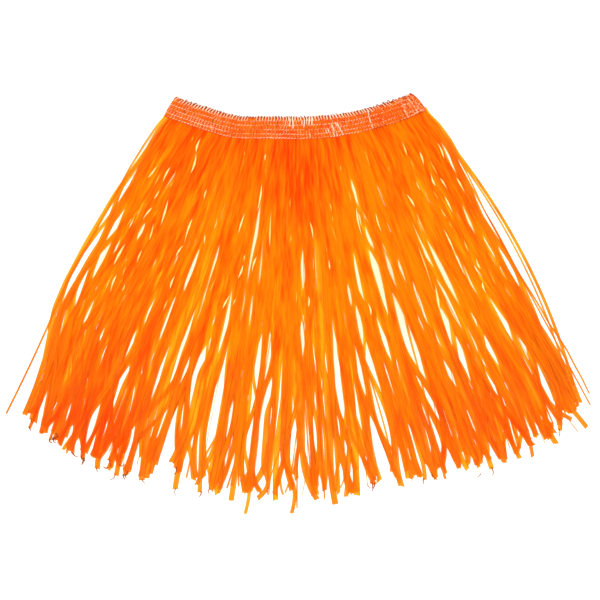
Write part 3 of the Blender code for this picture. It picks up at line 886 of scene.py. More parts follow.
def marked_strand(row):
    """A strand through three given points; above the first it follows the flow to the band."""
    a, b, tip = spot(row[0], row[1]), spot(row[2], row[3]), spot(row[4], row[5])
    a_deg, a_r = to_polar(a)
    root = root_through(float(a_deg), float(a_r))
    start = float(band_radius(root, 1.0)) - 3.0
    long = math.dist(a, b) + math.dist(b, tip)
    above = max(8, int(STEPS * (a_r - start) / (a_r - start + long)))
    below = STEPS - above
    radius = np.linspace(start, float(a_r), above, endpoint=False)
    upper_deg = flow_line(root, along_of(radius))
    miss = float(a_deg) - float(flow_line(root, along_of(float(a_r))))
    upper = polar(upper_deg + miss * smooth((radius - start) / (a_r - start)), radius)
    t = np.linspace(0.0, 1.0, below)[:, None]
    mid = math.dist(a, b) / long
    bend = (b - a * (1 - mid) ** 2 - tip * mid**2) / (2 * mid * (1 - mid))
    lower = a * (1 - t) ** 2 + bend * 2 * t * (1 - t) + tip * t**2
    path = np.concatenate([upper, lower])
    for _ in range(6):  # ease the join
        inner = path[1:-1] * 0.5 + (path[:-2] + path[2:]) * 0.25
        keep = np.clip(np.abs(np.arange(1, STEPS - 1) - above) / 8.0, 0.0, 1.0)[:, None]
        path[1:-1] = path[1:-1] * keep + inner * (1 - keep)
    obey = np.clip((above - 6 - np.arange(STEPS)) / 8.0, 0.0, 1.0)
    wide = widths(row[6], STEPS) if row[6] > 2.0 else np.full(STEPS, row[6])
    part = smooth((np.arange(STEPS) - above * 0.4) / (above * 0.5))
    wide = wide * (1 - part) + (row[6] * (0.9 + 0.1 * wide / row[6])) * part
    return path, wide, row[7], int(row[8]), obey


TRIES = 20


def wander(tries, calm):
    """Slow changes of lane: each strand moves sideways once or twice on its way down, and so crosses its neighbours."""
    k = np.arange(BENDS)[None, :]
    bends = np.zeros((tries, BENDS))
    for _ in range(3):
        at = rng.uniform(1.5, BENDS + 1.0, (tries, 1))
        by = rng.normal(0.0, 8.0, (tries, 1)) * calm[:, None]
        bends += by / (1.0 + np.exp(-(k - at) / rng.uniform(0.45, 1.1, (tries, 1))))
    at, by = rng.uniform(1.2, 5.0, (tries, 1)), rng.normal(0.0, 5.0, (tries, 1)) * calm[:, None]
    bends += by / (1.0 + np.exp(-(k - at) / rng.uniform(0.45, 0.9, (tries, 1))))
    bends += rng.normal(0.0, 0.7, (tries, BENDS)) * calm[:, None]
    bends -= bends[:, :1]
    return bends


def candidates(root, layer, tries, spread_deg=1.7):
    """Different ways for a strand from one root to lie."""
    end = float(np.interp(root, flow[:, 0], flow[:, 1]))
    tips = np.clip(end + rng.normal(0.0, spread_deg, tries), -26.5, 27.1)
    short = rng.exponential(5.0, tries) + (3.0 if layer == 0 else 0.0)
    base, side = straight(np.full(tries, root), tips, tip_radius(tips, short))
    calm = np.clip((27.4 - np.abs(tips)) / 3.5, 0.1, 1.0)
    return base, side, wander(tries, calm)


def best_of(base, side, bends, wide, known=None, lively=0.0):
    path = steer(base, side, bends, np.repeat(wide[None], len(base), 0), np.ones(base.shape[:2]))
    if known is not None:
        path = np.concatenate([known[None], path])
    found = [strand_cells(p, wide) for p in path]
    worths = np.array([score(f) for f in found])
    if lively:
        degrees, radius = to_polar(path)
        drift = np.abs(np.diff(degrees - degrees.mean(axis=1, keepdims=True), axis=1)) * np.radians(1.0) * radius[:, 1:]
        slope = drift / np.maximum(np.diff(radius, axis=1), 0.5)
        worths = worths + lively * np.clip(slope[:, 20:], 0.0, 0.22).mean(axis=1)
    k = int(np.argmax(worths))
    return path[k], found[k], worths[k]


def follow(root, tip, tip_r, desired_deg):
    """Bends that bring strands onto desired angles, given at each of their points."""
    base, side = straight(root, tip, tip_r)
    degrees, radius = to_polar(base)
    want = np.radians(desired_deg - degrees) * radius
    weight = np.ones(STEPS)
    weight[:4] = 0.1
    left = (BASIS * weight[:, None]).T @ BASIS + 0.06 * STIFF + 1e-6 * np.eye(BENDS)
    left[0, 0] += 1e4
    bends = np.linalg.solve(left, ((want * weight) @ BASIS).T).T
    return base, side, bends


def flank(row, sign, tries):
    """Ways for a strand to lie along one side of a gap: it runs the way the gap leans, and at the gap's ends it
    stays on its side or crosses over."""
    gx, gy, wx, wy, half_long, half_wide, widest = row
    width = float(np.clip(rng.normal(4.3, 0.8), 2.6, 6.4))
    centre = np.array([gx, gy])
    deg, rad = (float(v) for v in to_polar(centre))
    lane = root_through(deg, rad)
    if not -27.6 < lane < 27.2:
        return None
    ahead = polar(flow_line(lane, along_of(rad + 6.0)), rad + 6.0) - polar(flow_line(lane, along_of(rad - 6.0)), rad - 6.0)
    turn = math.atan2(wx, -wy) - math.atan2(ahead[0], -ahead[1])
    slope = math.tan(np.clip(turn, -0.33, 0.33))
    reach = half_long + rng.uniform(8.0, 40.0, (tries, 1))
    shift = np.degrees(slope * reach[:, 0] / rad)
    end = float(np.interp(lane, flow[:, 0], flow[:, 1]))
    root = np.clip(lane - 0.9 * shift + rng.normal(0.0, 0.25, tries), -27.2, 26.8)
    tip = np.clip(end + shift + rng.normal(0.0, 0.5, tries), -26.6, 27.2)
    tip_r = tip_radius(tip, rng.exponential(5.0, tries))
    t = np.linspace(0.0, 1.0, STEPS)[None, :]
    start = (band_radius(root, 1.0) - 3.0)[:, None]
    radius = start + (tip_r[:, None] - start) * t
    run = (radius - rad) / math.cos(turn)
    s = run / half_long
    edge = gap_width(s, np.full(s.shape, widest), half_wide) * (np.abs(s) < 1.0)
    if widest > 0.9:
        edge = np.where(s >= 1.0, half_wide, edge)
    beyond = np.clip((np.abs(s) - 0.85) * half_long / rng.uniform(14.0, 34.0, (tries, 1)), 0.0, 1.0)
    over = np.where(s < 0, rng.choice((-1.0, 1.0), (tries, 1)), rng.choice((-1.0, 1.0), (tries, 1)))
    inner = edge + width * 0.5
    outer = over * rng.uniform(1.0, 6.0, (tries, 1))
    aside = sign * (inner * (1.0 - smooth(beyond)) + outer * smooth(beyond))
    want = flow_line(lane, along_of(radius)) + np.degrees((slope * reach * np.tanh(run / reach) + aside) / radius)
    want = np.clip(want, -28.8, 28.8)
    base, side, bends = follow(root, tip, tip_r, want)
    bends = bends + rng.normal(0.0, 0.35, bends.shape) * (np.arange(BENDS) > 2)
    return base, side, bends, root, widths(width, STEPS)


def grow(count, lively):
    """One strand at a time where strands are fewest at the band, each the best of a few ways to lie."""
    places = np.linspace(-27.0, 26.6, 269)
    dense = 1.0 + 0.35 * np.exp(-(((places - 2.0) / 7.0) ** 2))
    have = np.zeros(len(places))
    for root in strands.root:
        have += np.exp(-(((places - root) / 0.35) ** 2))
    lock_tone = rng.normal(0.0, 0.3, 64)
    for i in range(count):
        root = float(places[int(np.argmin(have / dense + rng.uniform(0.0, 0.6, len(places))))])
        have += np.exp(-(((places - root) / 0.35) ** 2))
        wide = widths(float(np.clip(rng.normal(4.3, 0.9), 2.2, 6.6)), STEPS)
        layer = int(rng.random() < 0.4)
        path, _, _ = best_of(*candidates(root, layer, TRIES), wide, lively=lively)
        strands.add(path, wide, float(np.clip(rng.normal(0.0, 0.4) + lock_tone[int(root + 28.0)], -1.0, 1.0)), layer)
        strands.root.append(root)


strands.root = []
for row in MARKED:
    path, wide, tone, layer, obey = marked_strand(row)
    bent = steer(path[None], ribbon(path)[None], np.zeros((1, BENDS)), wide[None], obey[None])[0]
    # below its first point it stays as given
    keep = smooth((np.argmax(obey < 1.0) - np.arange(STEPS)) / 8.0)[:, None]
    path = path * (1 - keep) + bent * keep
    strands.add(path, wide, tone, layer, 1)
    strands.root.append(float(to_polar(path[0])[0]))
for row in GAPS:
    for sign in (-1.0, 1.0):
        s_line = np.linspace(-0.8, 0.8, 21)[:, None]
        out_by = gap_width(s_line[:, 0], np.full(21, row[6]), row[5]) + 2.2
        line = row[:2] + row[2:4] * s_line * row[4] + sign * np.array([-row[3], row[2]]) * out_by[:, None]
        r_, c_ = cells(line)
        if (counts[r_, c_] > 0).mean() > LINED:
            continue
        made = flank(row, sign, TRIES)
        if made is None:
            continue
        base, side, bends, root, wide = made
        path, found, value = best_of(base, side, bends, wide)
        if value < FLANK_LEAST:
            continue
        strands.add(path, wide, float(np.clip(rng.normal(0.0, 0.45), -1, 1)), int(rng.random() < 0.72), 3)
        strands.root.append(float(to_polar(path[0])[0]))
grow(GROW, LIVELY)

# Take strands up again one at a time, and lay each the best way among its neighbours.
for _ in range(PASSES):
    for i in rng.permutation(len(strands.path)):
        if strands.kind[i]:
            continue
        wide = strands.wide[i]
        counts.ravel()[strand_cells(strands.path[i], wide)] -= 1
        path, found, _ = best_of(*candidates(strands.root[i], strands.layer[i], TRIES), wide, known=strands.path[i], lively=LIVELY)
        strands.path[i] = path
        counts.ravel()[found] += 1

# Fill what is still bare and isn't a gap.
tried = np.zeros((MAP_H, MAP_W), bool)
inside = (worth > 0.5) & (grid_r > 290.0)
deg_bin = np.clip(((grid_deg + 30.0) / 0.40).astype(int), 0, 150)
r_bin = np.clip(((grid_r - 280.0) / 22.0).astype(int), 0, 16)
key = deg_bin * 20 + r_bin
fillers = 0
FILL_MOST, FILL_LEAST, FILL_VALUE = 60, 38, 50.0
for _ in range(260):
    left = (counts == 0) & inside & ~tried
    count = np.bincount(key[left], weights=worth[left], minlength=3100)
    best = int(np.argmax(count))
    if count[best] < FILL_LEAST or fillers >= FILL_MOST:
        break
    here = left & (key == best)
    deg, rad = float(grid_deg[here].mean()), float(grid_r[here].mean())
    n = 30
    # lanes that pass through the place at different angles
    a = float(along_of(rad))
    lane = root_through(deg, rad)
    root_here = np.clip(lane + rng.normal(0.0, 1.0, n), -27.1, 26.7)
    tips = np.clip(np.interp(root_here, flow[:, 0], flow[:, 1]) + rng.normal(0.0, 0.8, n), -26.6, 27.2)
    base, side = straight(root_here, tips, tip_radius(tips, rng.exponential(8.0, n) + 2.0))
    gap = np.array([np.hypot(*(base[j] - polar(deg, rad)).T).argmin() for j in range(n)])
    miss = ((polar(deg, rad)[None] - base[np.arange(n), gap]) * side[np.arange(n), gap]).sum(axis=1)
    k = np.arange(BENDS)[None, :]
    at = (gap / (STEPS - 1.0) * (BENDS - 1.0))[:, None]
    tau = rng.uniform(0.5, 1.4, (n, 1))
    turn = rng.normal(0.0, 7.0, (n, 1))
    bends = miss[:, None] * np.exp(-(((k - at) / 3.0) ** 2)) + turn * (1.0 / (1.0 + np.exp(-(k - at) / tau)) - 0.5) * np.clip(k / 2.0, 0, 1)
    wide = widths(float(rng.uniform(2.6, 4.6)), STEPS)
    path, found, value = best_of(base, side, bends, wide)
    tried |= here
    if value < FILL_VALUE:
        continue
    strands.add(path, wide, float(np.clip(rng.normal(-0.25, 0.4), -1, 1)), int(rng.integers(0, 2)))
    strands.root.append(0.0)
    fillers += 1

# Fine fibres and slivers that split off the film. They cross the partings freely.
for i in range(SLIVERS + FIBRES):
    sliver = i < SLIVERS
    root_deg = np.array([float(rng.uniform(-26.5, 26.3))])
    end = float(np.interp(root_deg[0], flow[:, 0], flow[:, 1]))
    tip_deg = np.clip(end + rng.normal(0.0, 1.5, 1), -26.5, 27.0)
    tip_r = tip_radius(tip_deg, rng.exponential(14.0, 1) - (0.0 if sliver else 3.0))
    base, side = straight(root_deg, tip_deg, tip_r)
    path = (base + side * (wander(1, np.array([1.25])) @ BASIS.T)[..., None])[0]
    broad = float(rng.uniform(1.0, 2.2)) if sliver else float(rng.uniform(0.45, 0.8))
    tone = float(rng.uniform(-1.0, 0.3)) if sliver else float(rng.uniform(-0.4, 0.9))
    strands.add(path, widths(broad, STEPS), tone, int(rng.random() < 0.75), 2)
    strands.root.append(float(root_deg[0]))

# ---- how they lie on each other -----------------------------------------------------------------------------------
COLUMNS = 5
THICK = 0.10
pile = np.full((MAP_H, MAP_W), 0.2)
past_hem = grid_r - band_radius(grid_deg, 1.0)


def under(points):
    """The pile's height under points, the highest of the cells around each."""
    row, col = cells(points)
    best = pile[row, col]
    for dr, dc in ((0, 1), (0, -1), (1, 0), (-1, 0)):
        best = np.maximum(best, pile[np.clip(row + dr, 0, MAP_H - 1), np.clip(col + dc, 0, MAP_W - 1)])
    return best


def lay(path, wide, kind):
    """Heights over a strand's points, for its columns: it rests on what is under it and bridges short dips."""
    c = np.linspace(-1.0, 1.0, COLUMNS)
    flat = path[:, None, :] + ribbon(path)[:, None, :] * (wide[:, None] / 2.0 * c[None, :])[..., None]
    rest = under(flat) + (THICK if kind < 2 else 0.15)
    z = rest.copy()
    for _ in range(7):
        eased = z.copy()
        eased[1:-1] = z[1:-1] * 0.5 + (z[:-2] + z[2:]) * 0.25
        z = np.maximum(rest, eased)
    return flat, np.maximum(rest, z * 0.6 + z.mean(axis=1, keepdims=True) * 0.4)


meshes = {0: [], 1: []}
kinds, layers = np.array(strands.kind), np.array(strands.layer)
shuffled = rng.permutation(len(strands.path))
order = [i for i in shuffled if layers[i] == 0]
order += [i for i in shuffled if layers[i] == 1 and kinds[i] in (0, 3)]
order += [i for i in shuffled if layers[i] == 1 and kinds[i] in (1, 2)]
begun = False
ramp = (BAND_WALL + BAND_SLIT + 0.2) * (1.0 - smooth((past_hem - 2.0) / 70.0))
low_at = {0: np.full((MAP_H, MAP_W), 0.2), 1: ramp}
for i in order:
    layer, kind = int(layers[i]), int(kinds[i])
    if layer == 1 and not begun:
        # The front half leaves the band above the back half, and comes down on it.
        pile[:] = np.where(np.abs(grid_deg) < 28.5, np.maximum(pile, ramp), pile)
        begun = True
    path, wide = strands.path[i], strands.wide[i]
    flat, z = lay(path, wide, kind)
    ripple = 0.5 + 0.5 * np.sin(np.linspace(0, rng.uniform(3, 12), STEPS) + rng.uniform(0, 6))
    crease = (rng.uniform(-0.30, 0.42) * ripple * np.minimum(1.0, wide / 4.6) ** 1.5)[:, None]
    c = np.abs(np.linspace(-1.0, 1.0, COLUMNS))[None, :]
    z = z + np.maximum(0.0, crease) * (1 - c) + np.maximum(0.0, -crease) * c
    # Inside the band and just below it the layers are pressed together.
    at_row, at_col = cells(flat)
    floor_z = low_at[layer][at_row, at_col]
    press = 0.42 + 0.58 * smooth((past_hem[at_row, at_col] - 1.0) / 42.0)
    pressed = floor_z + (z - floor_z) * press
    meshes[layer].append((i, flat, pressed))
    fine, at, cc = spread(path, wide, ribbon(path), 5, 9)
    low = np.minimum(at.astype(int), STEPS - 2)
    part = (at - low)[:, None]
    zz = z[low] * (1 - part) + z[low + 1] * part
    at_share = (cc[None, :] + 1.0) / 2.0 * (COLUMNS - 1)
    left_col = np.minimum(at_share.astype(int), COLUMNS - 2)[0]
    mix = (at_share[0] - left_col)[None, :]
    zc = zz[:, left_col] * (1 - mix) + zz[:, left_col + 1] * mix
    row, col = cells(fine)
    np.maximum.at(pile, (row, col), zc + 0.02)

# ---- meshes -------------------------------------------------------------------------------------------------------
def new_object(name, verts, faces, uvs=None, floats=None, bake=None):
    mesh = bpy.data.meshes.new(name)
    mesh.vertices.add(len(verts))
    mesh.vertices.foreach_set("co", np.asarray(verts, np.float32).ravel())
    faces = np.asarray(faces, np.int32)
    mesh.loops.add(faces.size)
    mesh.loops.foreach_set("vertex_index", faces.ravel())
    mesh.polygons.add(len(faces))
    mesh.polygons.foreach_set("loop_start", np.arange(0, faces.size, faces.shape[1], dtype=np.int32))
    mesh.polygons.foreach_set("loop_total", np.full(len(faces), faces.shape[1], np.int32))
    mesh.update(calc_edges=True)
    for layer_name, per_vertex in (("UVMap", uvs), ("OFBake", bake)):
        if per_vertex is not None:
            layer = mesh.uv_layers.new(name=layer_name)
            layer.data.foreach_set("uv", np.asarray(per_vertex, np.float32)[faces.ravel()].ravel())
    for attribute, values in (floats or {}).items():
        made = mesh.attributes.new(attribute, "FLOAT", "POINT")
        made.data.foreach_set("value", np.asarray(values, np.float32))
    mesh.validate()
    mesh.shade_smooth()
    made = bpy.data.objects.new(name, mesh)
    bpy.context.scene.collection.objects.link(made)
    return made


def grid_faces(rows, columns, round_rows=False, round_columns=False):
    """Quads between the points of a grid given row by row."""
    a = np.arange(rows if round_rows else rows - 1)[:, None]
    b = np.arange(columns if round_columns else columns - 1)[None, :]
    a2, b2 = (a + 1) % rows, (b + 1) % columns
    quads = (a * columns + b, a2 * columns + b, a2 * columns + b2, a * columns + b2)
    return np.stack(np.broadcast_arrays(*quads), axis=-1).reshape(-1, 4)


# Painted shade for how many layers of film lie at each point.
def painted_layer_depth(points):
    out = np.zeros(points.shape[:-1])
    for across, down, reach_across, reach_down, by in PAINTED_LAYER_DEPTH:
        rel = points - spot(across, down)
        out += by * np.exp(-((rel[..., 0] / reach_across) ** 2) - (rel[..., 1] / reach_down) ** 2)
    return out


LANE_DEG, LANE_R = np.linspace(-32.0, 32.0, 129), np.arange(240.0, 681.0, 10.0)
LANE_ROOTS = np.linspace(-30.0, 30.0, 800)
LANES = np.array([np.interp(LANE_DEG, flow_line(LANE_ROOTS, along_of(r)), LANE_ROOTS) for r in LANE_R])


def lane_of(points):
    """The root angle of the flow line through each point, times 6, and the point's radius."""
    degrees, radius = to_polar(points)
    a = np.clip((degrees - LANE_DEG[0]) / (LANE_DEG[1] - LANE_DEG[0]), 0, len(LANE_DEG) - 1.001)
    b = np.clip((radius - LANE_R[0]) / 10.0, 0, len(LANE_R) - 1.001)
    i, j = a.astype(int), b.astype(int)
    a, b = a - i, b - j
    found = (LANES[j, i] * (1 - a) + LANES[j, i + 1] * a) * (1 - b) + (LANES[j + 1, i] * (1 - a) + LANES[j + 1, i + 1] * a) * b
    return found * 6.0, radius


def leaf(across, down, long, wide, lean):
    """A sliver's points and heights: pointed at both ends, and lying on the pile."""
    along = np.linspace(-1.0, 1.0, 9)
    turn = math.radians(lean)
    way = np.array([math.sin(turn), -math.cos(turn)])
    side = np.array([-way[1], way[0]])
    bow = float(rng.uniform(-0.35, 0.35)) * wide
    half = (0.42 * wide + 0.14) * (1.0 - np.abs(along + float(rng.uniform(-0.35, 0.35)) * (1 - along**2))) ** 0.8
    spine = spot(across, down) + way * (along * (long / 2.0 + 0.4))[:, None] + side * (bow * (1.0 - along**2))[:, None]
    flat = spine[:, None, :] + side * (half[:, None] * np.array([-1.0, 0.0, 1.0]))[..., None]
    return flat, np.full((9, 3), under(flat).max()) + 0.12


tip_deg, tip_far = to_polar(np.array([path[-1] for path in strands.path]))


curled = set()


def curl(degrees):
    """A fibre's points and heights: it splits from a cut end and hooks aside."""
    order = np.argsort(np.abs(tip_deg - degrees) + 0.05 * (650.0 - tip_far))
    n = next(int(i) for i in order if int(i) not in curled)
    curled.add(n)
    path = strands.path[n]
    count = 9
    way_out = (path[-1] - path[-3]) / math.dist(path[-1], path[-3])
    aside = np.array([-way_out[1], way_out[0]]) * float(rng.uniform(-0.35, 0.35)) * float(strands.wide[n][-1])
    bent = float(rng.choice((-1.0, 1.0))) * float(rng.uniform(0.10, 0.36))
    back_again = float(rng.choice((1.0, 1.0, -1.0)))  # one in three is an S
    bends = np.where(np.arange(count) < 5, bent, bent * back_again)
    turn = math.atan2(way_out[0], -way_out[1]) + float(rng.normal(0.0, 0.55)) + np.cumsum(bends) - bends[0]
    way = np.stack([np.sin(turn), -np.cos(turn)], axis=-1)
    long = float(rng.uniform(4.5, 9.0))
    spine = path[-1] + aside - way_out * 1.6 + np.concatenate([[[0.0, 0.0]], np.cumsum(way[:-1], axis=0)]) * long / (count - 1)
    side = np.stack([-way[:, 1], way[:, 0]], axis=-1)
    half = float(rng.uniform(0.50, 0.78)) * (1.0 - 0.45 * np.linspace(0.0, 1.0, count))
    flat = spine[:, None, :] + side[:, None, :] * (half[:, None] * np.array([-1.0, 0.0, 1.0]))[..., None]
    return flat, np.maximum(under(flat).max(axis=1, keepdims=True), 0.2) + 0.15 + np.zeros((count, 3))


def fringe_object(name, rows, glint_rows=()):
    count = len(rows)
    verts, faces, uvs, bake = [], [], [], []
    tone, wide_at, seed, pale = [], [], [], []
    area, long = 0.0, 0.0
    quads = grid_faces(STEPS, COLUMNS)
    share = np.linspace(0.0, 1.0, COLUMNS)
    for n, (i, flat, z) in enumerate(rows):
        path, wide = strands.path[i], strands.wide[i]
        step = np.linalg.norm(np.diff(path, axis=0), axis=1)
        run = np.concatenate([[0.0], np.cumsum(step)])
        # Cut ends: square, slanted or a little ragged.
        way = (path[-1] - path[-2]) / max(step[-1], 1e-9)
        ragged = rng.normal(0.0, 0.28, COLUMNS) + rng.uniform(-0.3, 0.3) * (share - 0.5) * wide[-1] * 2.0
        flat = flat.copy()
        flat[-1] += way[None, :] * ragged[:, None]
        verts.append(np.concatenate([flat, z[..., None]], axis=-1).reshape(-1, 3))
        faces.append(quads + n * STEPS * COLUMNS)
        u = np.repeat(share[None, :], STEPS, axis=0)
        v = np.repeat(run[:, None], COLUMNS, axis=1)
        uvs.append(np.stack([u, v / 400.0], axis=-1).reshape(-1, 2))
        bake.append(np.stack([(n + 0.08 + 0.84 * u) / count, 0.004 + 0.990 * v / run[-1]], axis=-1).reshape(-1, 2))
        # Each strand's own tone, plus painted shade for the layers under and over it.
        tone.append((strands.tone[i] + painted_layer_depth(flat)).ravel())
        wide_at.append(np.repeat(wide[:, None], COLUMNS, axis=1).ravel())
        seed.append(np.full(STEPS * COLUMNS, (i * 0.6180339) % 1.0 * 10.0))
        pale.append(np.zeros(STEPS * COLUMNS))
        area += float((step * (wide[1:] + wide[:-1]) / 2.0).sum())
        long = max(long, float(run[-1]))
    # How pale each sliver's painted highlight is, by its width.
    glint_strength = [0.22 + 0.78 * min(1.0, (row[3] - 1.0) / 2.0) for row in glint_rows]
    bits = [(*leaf(*row), row[2], row[3], by) for row, by in zip(glint_rows, glint_strength)]
    for at_deg, reach_deg, many in CURLS if glint_rows else ():
        bits += [(*curl(at_deg + float(rng.uniform(-reach_deg, reach_deg))), 6.0, 0.7, -1.0) for _ in range(many)]
    for n, (flat, z, bit_long, bit_wide, by) in enumerate(bits):
        first = sum(len(v) for v in verts)
        verts.append(np.concatenate([flat, z[..., None]], axis=-1).reshape(-1, 3))
        faces.append(grid_faces(9, 3) + first)
        u, v = np.meshgrid(np.linspace(0.0, 1.0, 3), np.linspace(0.0, 1.0, 9))
        uvs.append(np.stack([u, v * bit_long / 400.0], axis=-1).reshape(-1, 2))
        bake.append(np.stack([(n + 0.1 + 0.8 * u) / len(bits), 0.9965 + 0.003 * v], axis=-1).reshape(-1, 2))
        tone.append(np.zeros(27))
        wide_at.append(np.full(27, bit_wide))
        seed.append(np.full(27, n * 0.37 % 10.0))
        # Above zero this is a sliver's painted highlight; below zero, the painted shade that browns a curled fibre.
        pale.append(np.repeat([[0.25, by, 0.25]] if by > 0 else [[-0.7, -0.9, -0.7]], 9, axis=0).ravel())
        area += bit_long * bit_wide * 0.6
    lane, reach = lane_of(np.concatenate(verts)[:, :2])
    made = new_object(
        name,
        np.concatenate(verts) * MM,
        np.concatenate(faces),
        np.concatenate(uvs),
        {
            "tone": np.concatenate(tone), "wide": np.concatenate(wide_at), "seed": np.concatenate(seed),
            "pale": np.concatenate(pale), "lane": lane, "reach": reach,
        },
        np.concatenate(bake),
    )
    return made, area * MM * MM, long * MM


# ---- the waistband's surface --------------------------------------------------------------------------------------
Z_MID = BAND_WALL + BAND_SLIT / 2.0
WALL_OUT, WALL_IN = Z_MID, BAND_SLIT / 2.0 + 0.1  # how far the wall's two faces lie from the loop's middle plane
INSET = 2.4
ends = np.array(ENDS)
FRONT_LONG = math.radians(ends[:, 2].mean() - ends[:, 1].mean()) * 270.0 - 2.0 * INSET
FOLD_LONG = math.pi * 2.0
ROUND = 2.0 * (FRONT_LONG + FOLD_LONG)


def around(s, down, out):
    """A point on the loop and the way out there: s mm round it from the front half's left end, down from 0 at its top
    edge to 1 at its hem, out mm from its middle plane."""
    s = np.mod(s, ROUND)
    s, down, out = np.broadcast_arrays(s, down, out)
    share = np.clip(s / FRONT_LONG, 0.0, 1.0) - np.clip((s - FRONT_LONG - FOLD_LONG) / FRONT_LONG, 0.0, 1.0)
    turn = math.pi * (
        np.clip((s - FRONT_LONG) / FOLD_LONG, 0.0, 1.0) + np.clip((s - 2.0 * FRONT_LONG - FOLD_LONG) / FOLD_LONG, 0.0, 1.0)
    )
    inset = math.degrees(INSET / 270.0)
    left = np.interp(down, ends[:, 0], ends[:, 1]) + inset
    right = np.interp(down, ends[:, 0], ends[:, 2]) - inset
    degrees = left + (right - left) * share
    radius = band_radius(degrees, down)
    degrees = degrees + np.degrees(out * np.sin(turn) / radius)
    flat = polar(degrees, radius)
    along = np.stack([np.cos(np.radians(degrees)), np.sin(np.radians(degrees))], axis=-1)
    place = np.concatenate([flat, (Z_MID + out * np.cos(turn))[..., None]], axis=-1)
    outward = np.concatenate([along * np.sin(turn)[..., None], np.cos(turn)[..., None]], axis=-1)
    return place, outward


def on_band(across, down):
    """A place on the band's front half, from the layout square, as s and down."""
    degrees, radius = to_polar(spot(across, down))
    deep = (radius - band_radius(degrees, 0.0)) / (band_radius(degrees, 1.0) - band_radius(degrees, 0.0))
    inset = math.degrees(INSET / 270.0)
    left = np.interp(deep, ends[:, 0], ends[:, 1]) + inset
    right = np.interp(deep, ends[:, 0], ends[:, 2]) - inset
    return float((degrees - left) / (right - left) * FRONT_LONG), float(deep)


def mirrored(s):
    """Where a place on the back half lies on the front half, seen through the skirt."""
    s = np.mod(s, ROUND)
    return np.where(s > FRONT_LONG + FOLD_LONG / 2.0, 2.0 * FRONT_LONG + FOLD_LONG - s, s)


def noise_line(pitch, seed, span=ROUND):
    """A smooth random function of s that repeats after one round, from -1 to 1."""
    source = np.random.default_rng(seed)
    count = max(4, int(round(span / pitch)))
    values = source.uniform(-1.0, 1.0, count)

    def at(s):
        x = np.mod(np.asarray(s, float) / span, 1.0) * count
        low = np.floor(x).astype(int) % count
        part = smooth(x - np.floor(x))
        return values[low] * (1 - part) + values[(low + 1) % count] * part

    return at


gap_starts = (0.0, *ROWS)
ribs = [(noise_line(1.5, 100 + k), noise_line(3.4, 200 + k), noise_line(9.0, 300 + k)) for k in range(len(gap_starts))]
row_wave = [(noise_line(5.0, 400 + k), noise_line(17.0, 500 + k)) for k in range(len(ROWS))]
DEEP = 21.4


def row_at(k, s):
    """How far down stitch row k lies at s."""
    return ROWS[k] + (row_wave[k][0](s) * 0.22 + row_wave[k][1](s) * 0.32) / DEEP


def swell(s, down):
    """How much less than its full thickness the wall is: pinched at each row of stitches, full and ribbed between."""
    out = np.zeros(np.broadcast(s, down).shape)
    edges = [np.zeros_like(out) - 0.02] + [row_at(k, s) + np.zeros_like(out) for k in range(len(ROWS))]
    edges.append(np.full_like(out, 1.04))
    for k in range(len(edges) - 1):
        share = (down - edges[k]) / (edges[k + 1] - edges[k])
        inside = (share >= 0.0) & (share < 1.0)
        full = np.sin(np.pi * np.clip(share, 0.0, 1.0)) ** 0.6
        rib = ribs[min(k, len(ribs) - 1)]
        lean = (share - 0.5) * 0.8
        height = 0.30 + 0.26 * rib[0](s + lean) + 0.16 * rib[1](s - lean) + 0.10 * rib[2](s)
        out = np.where(inside, full * np.clip(height, -0.1, 0.72), out)
    return out


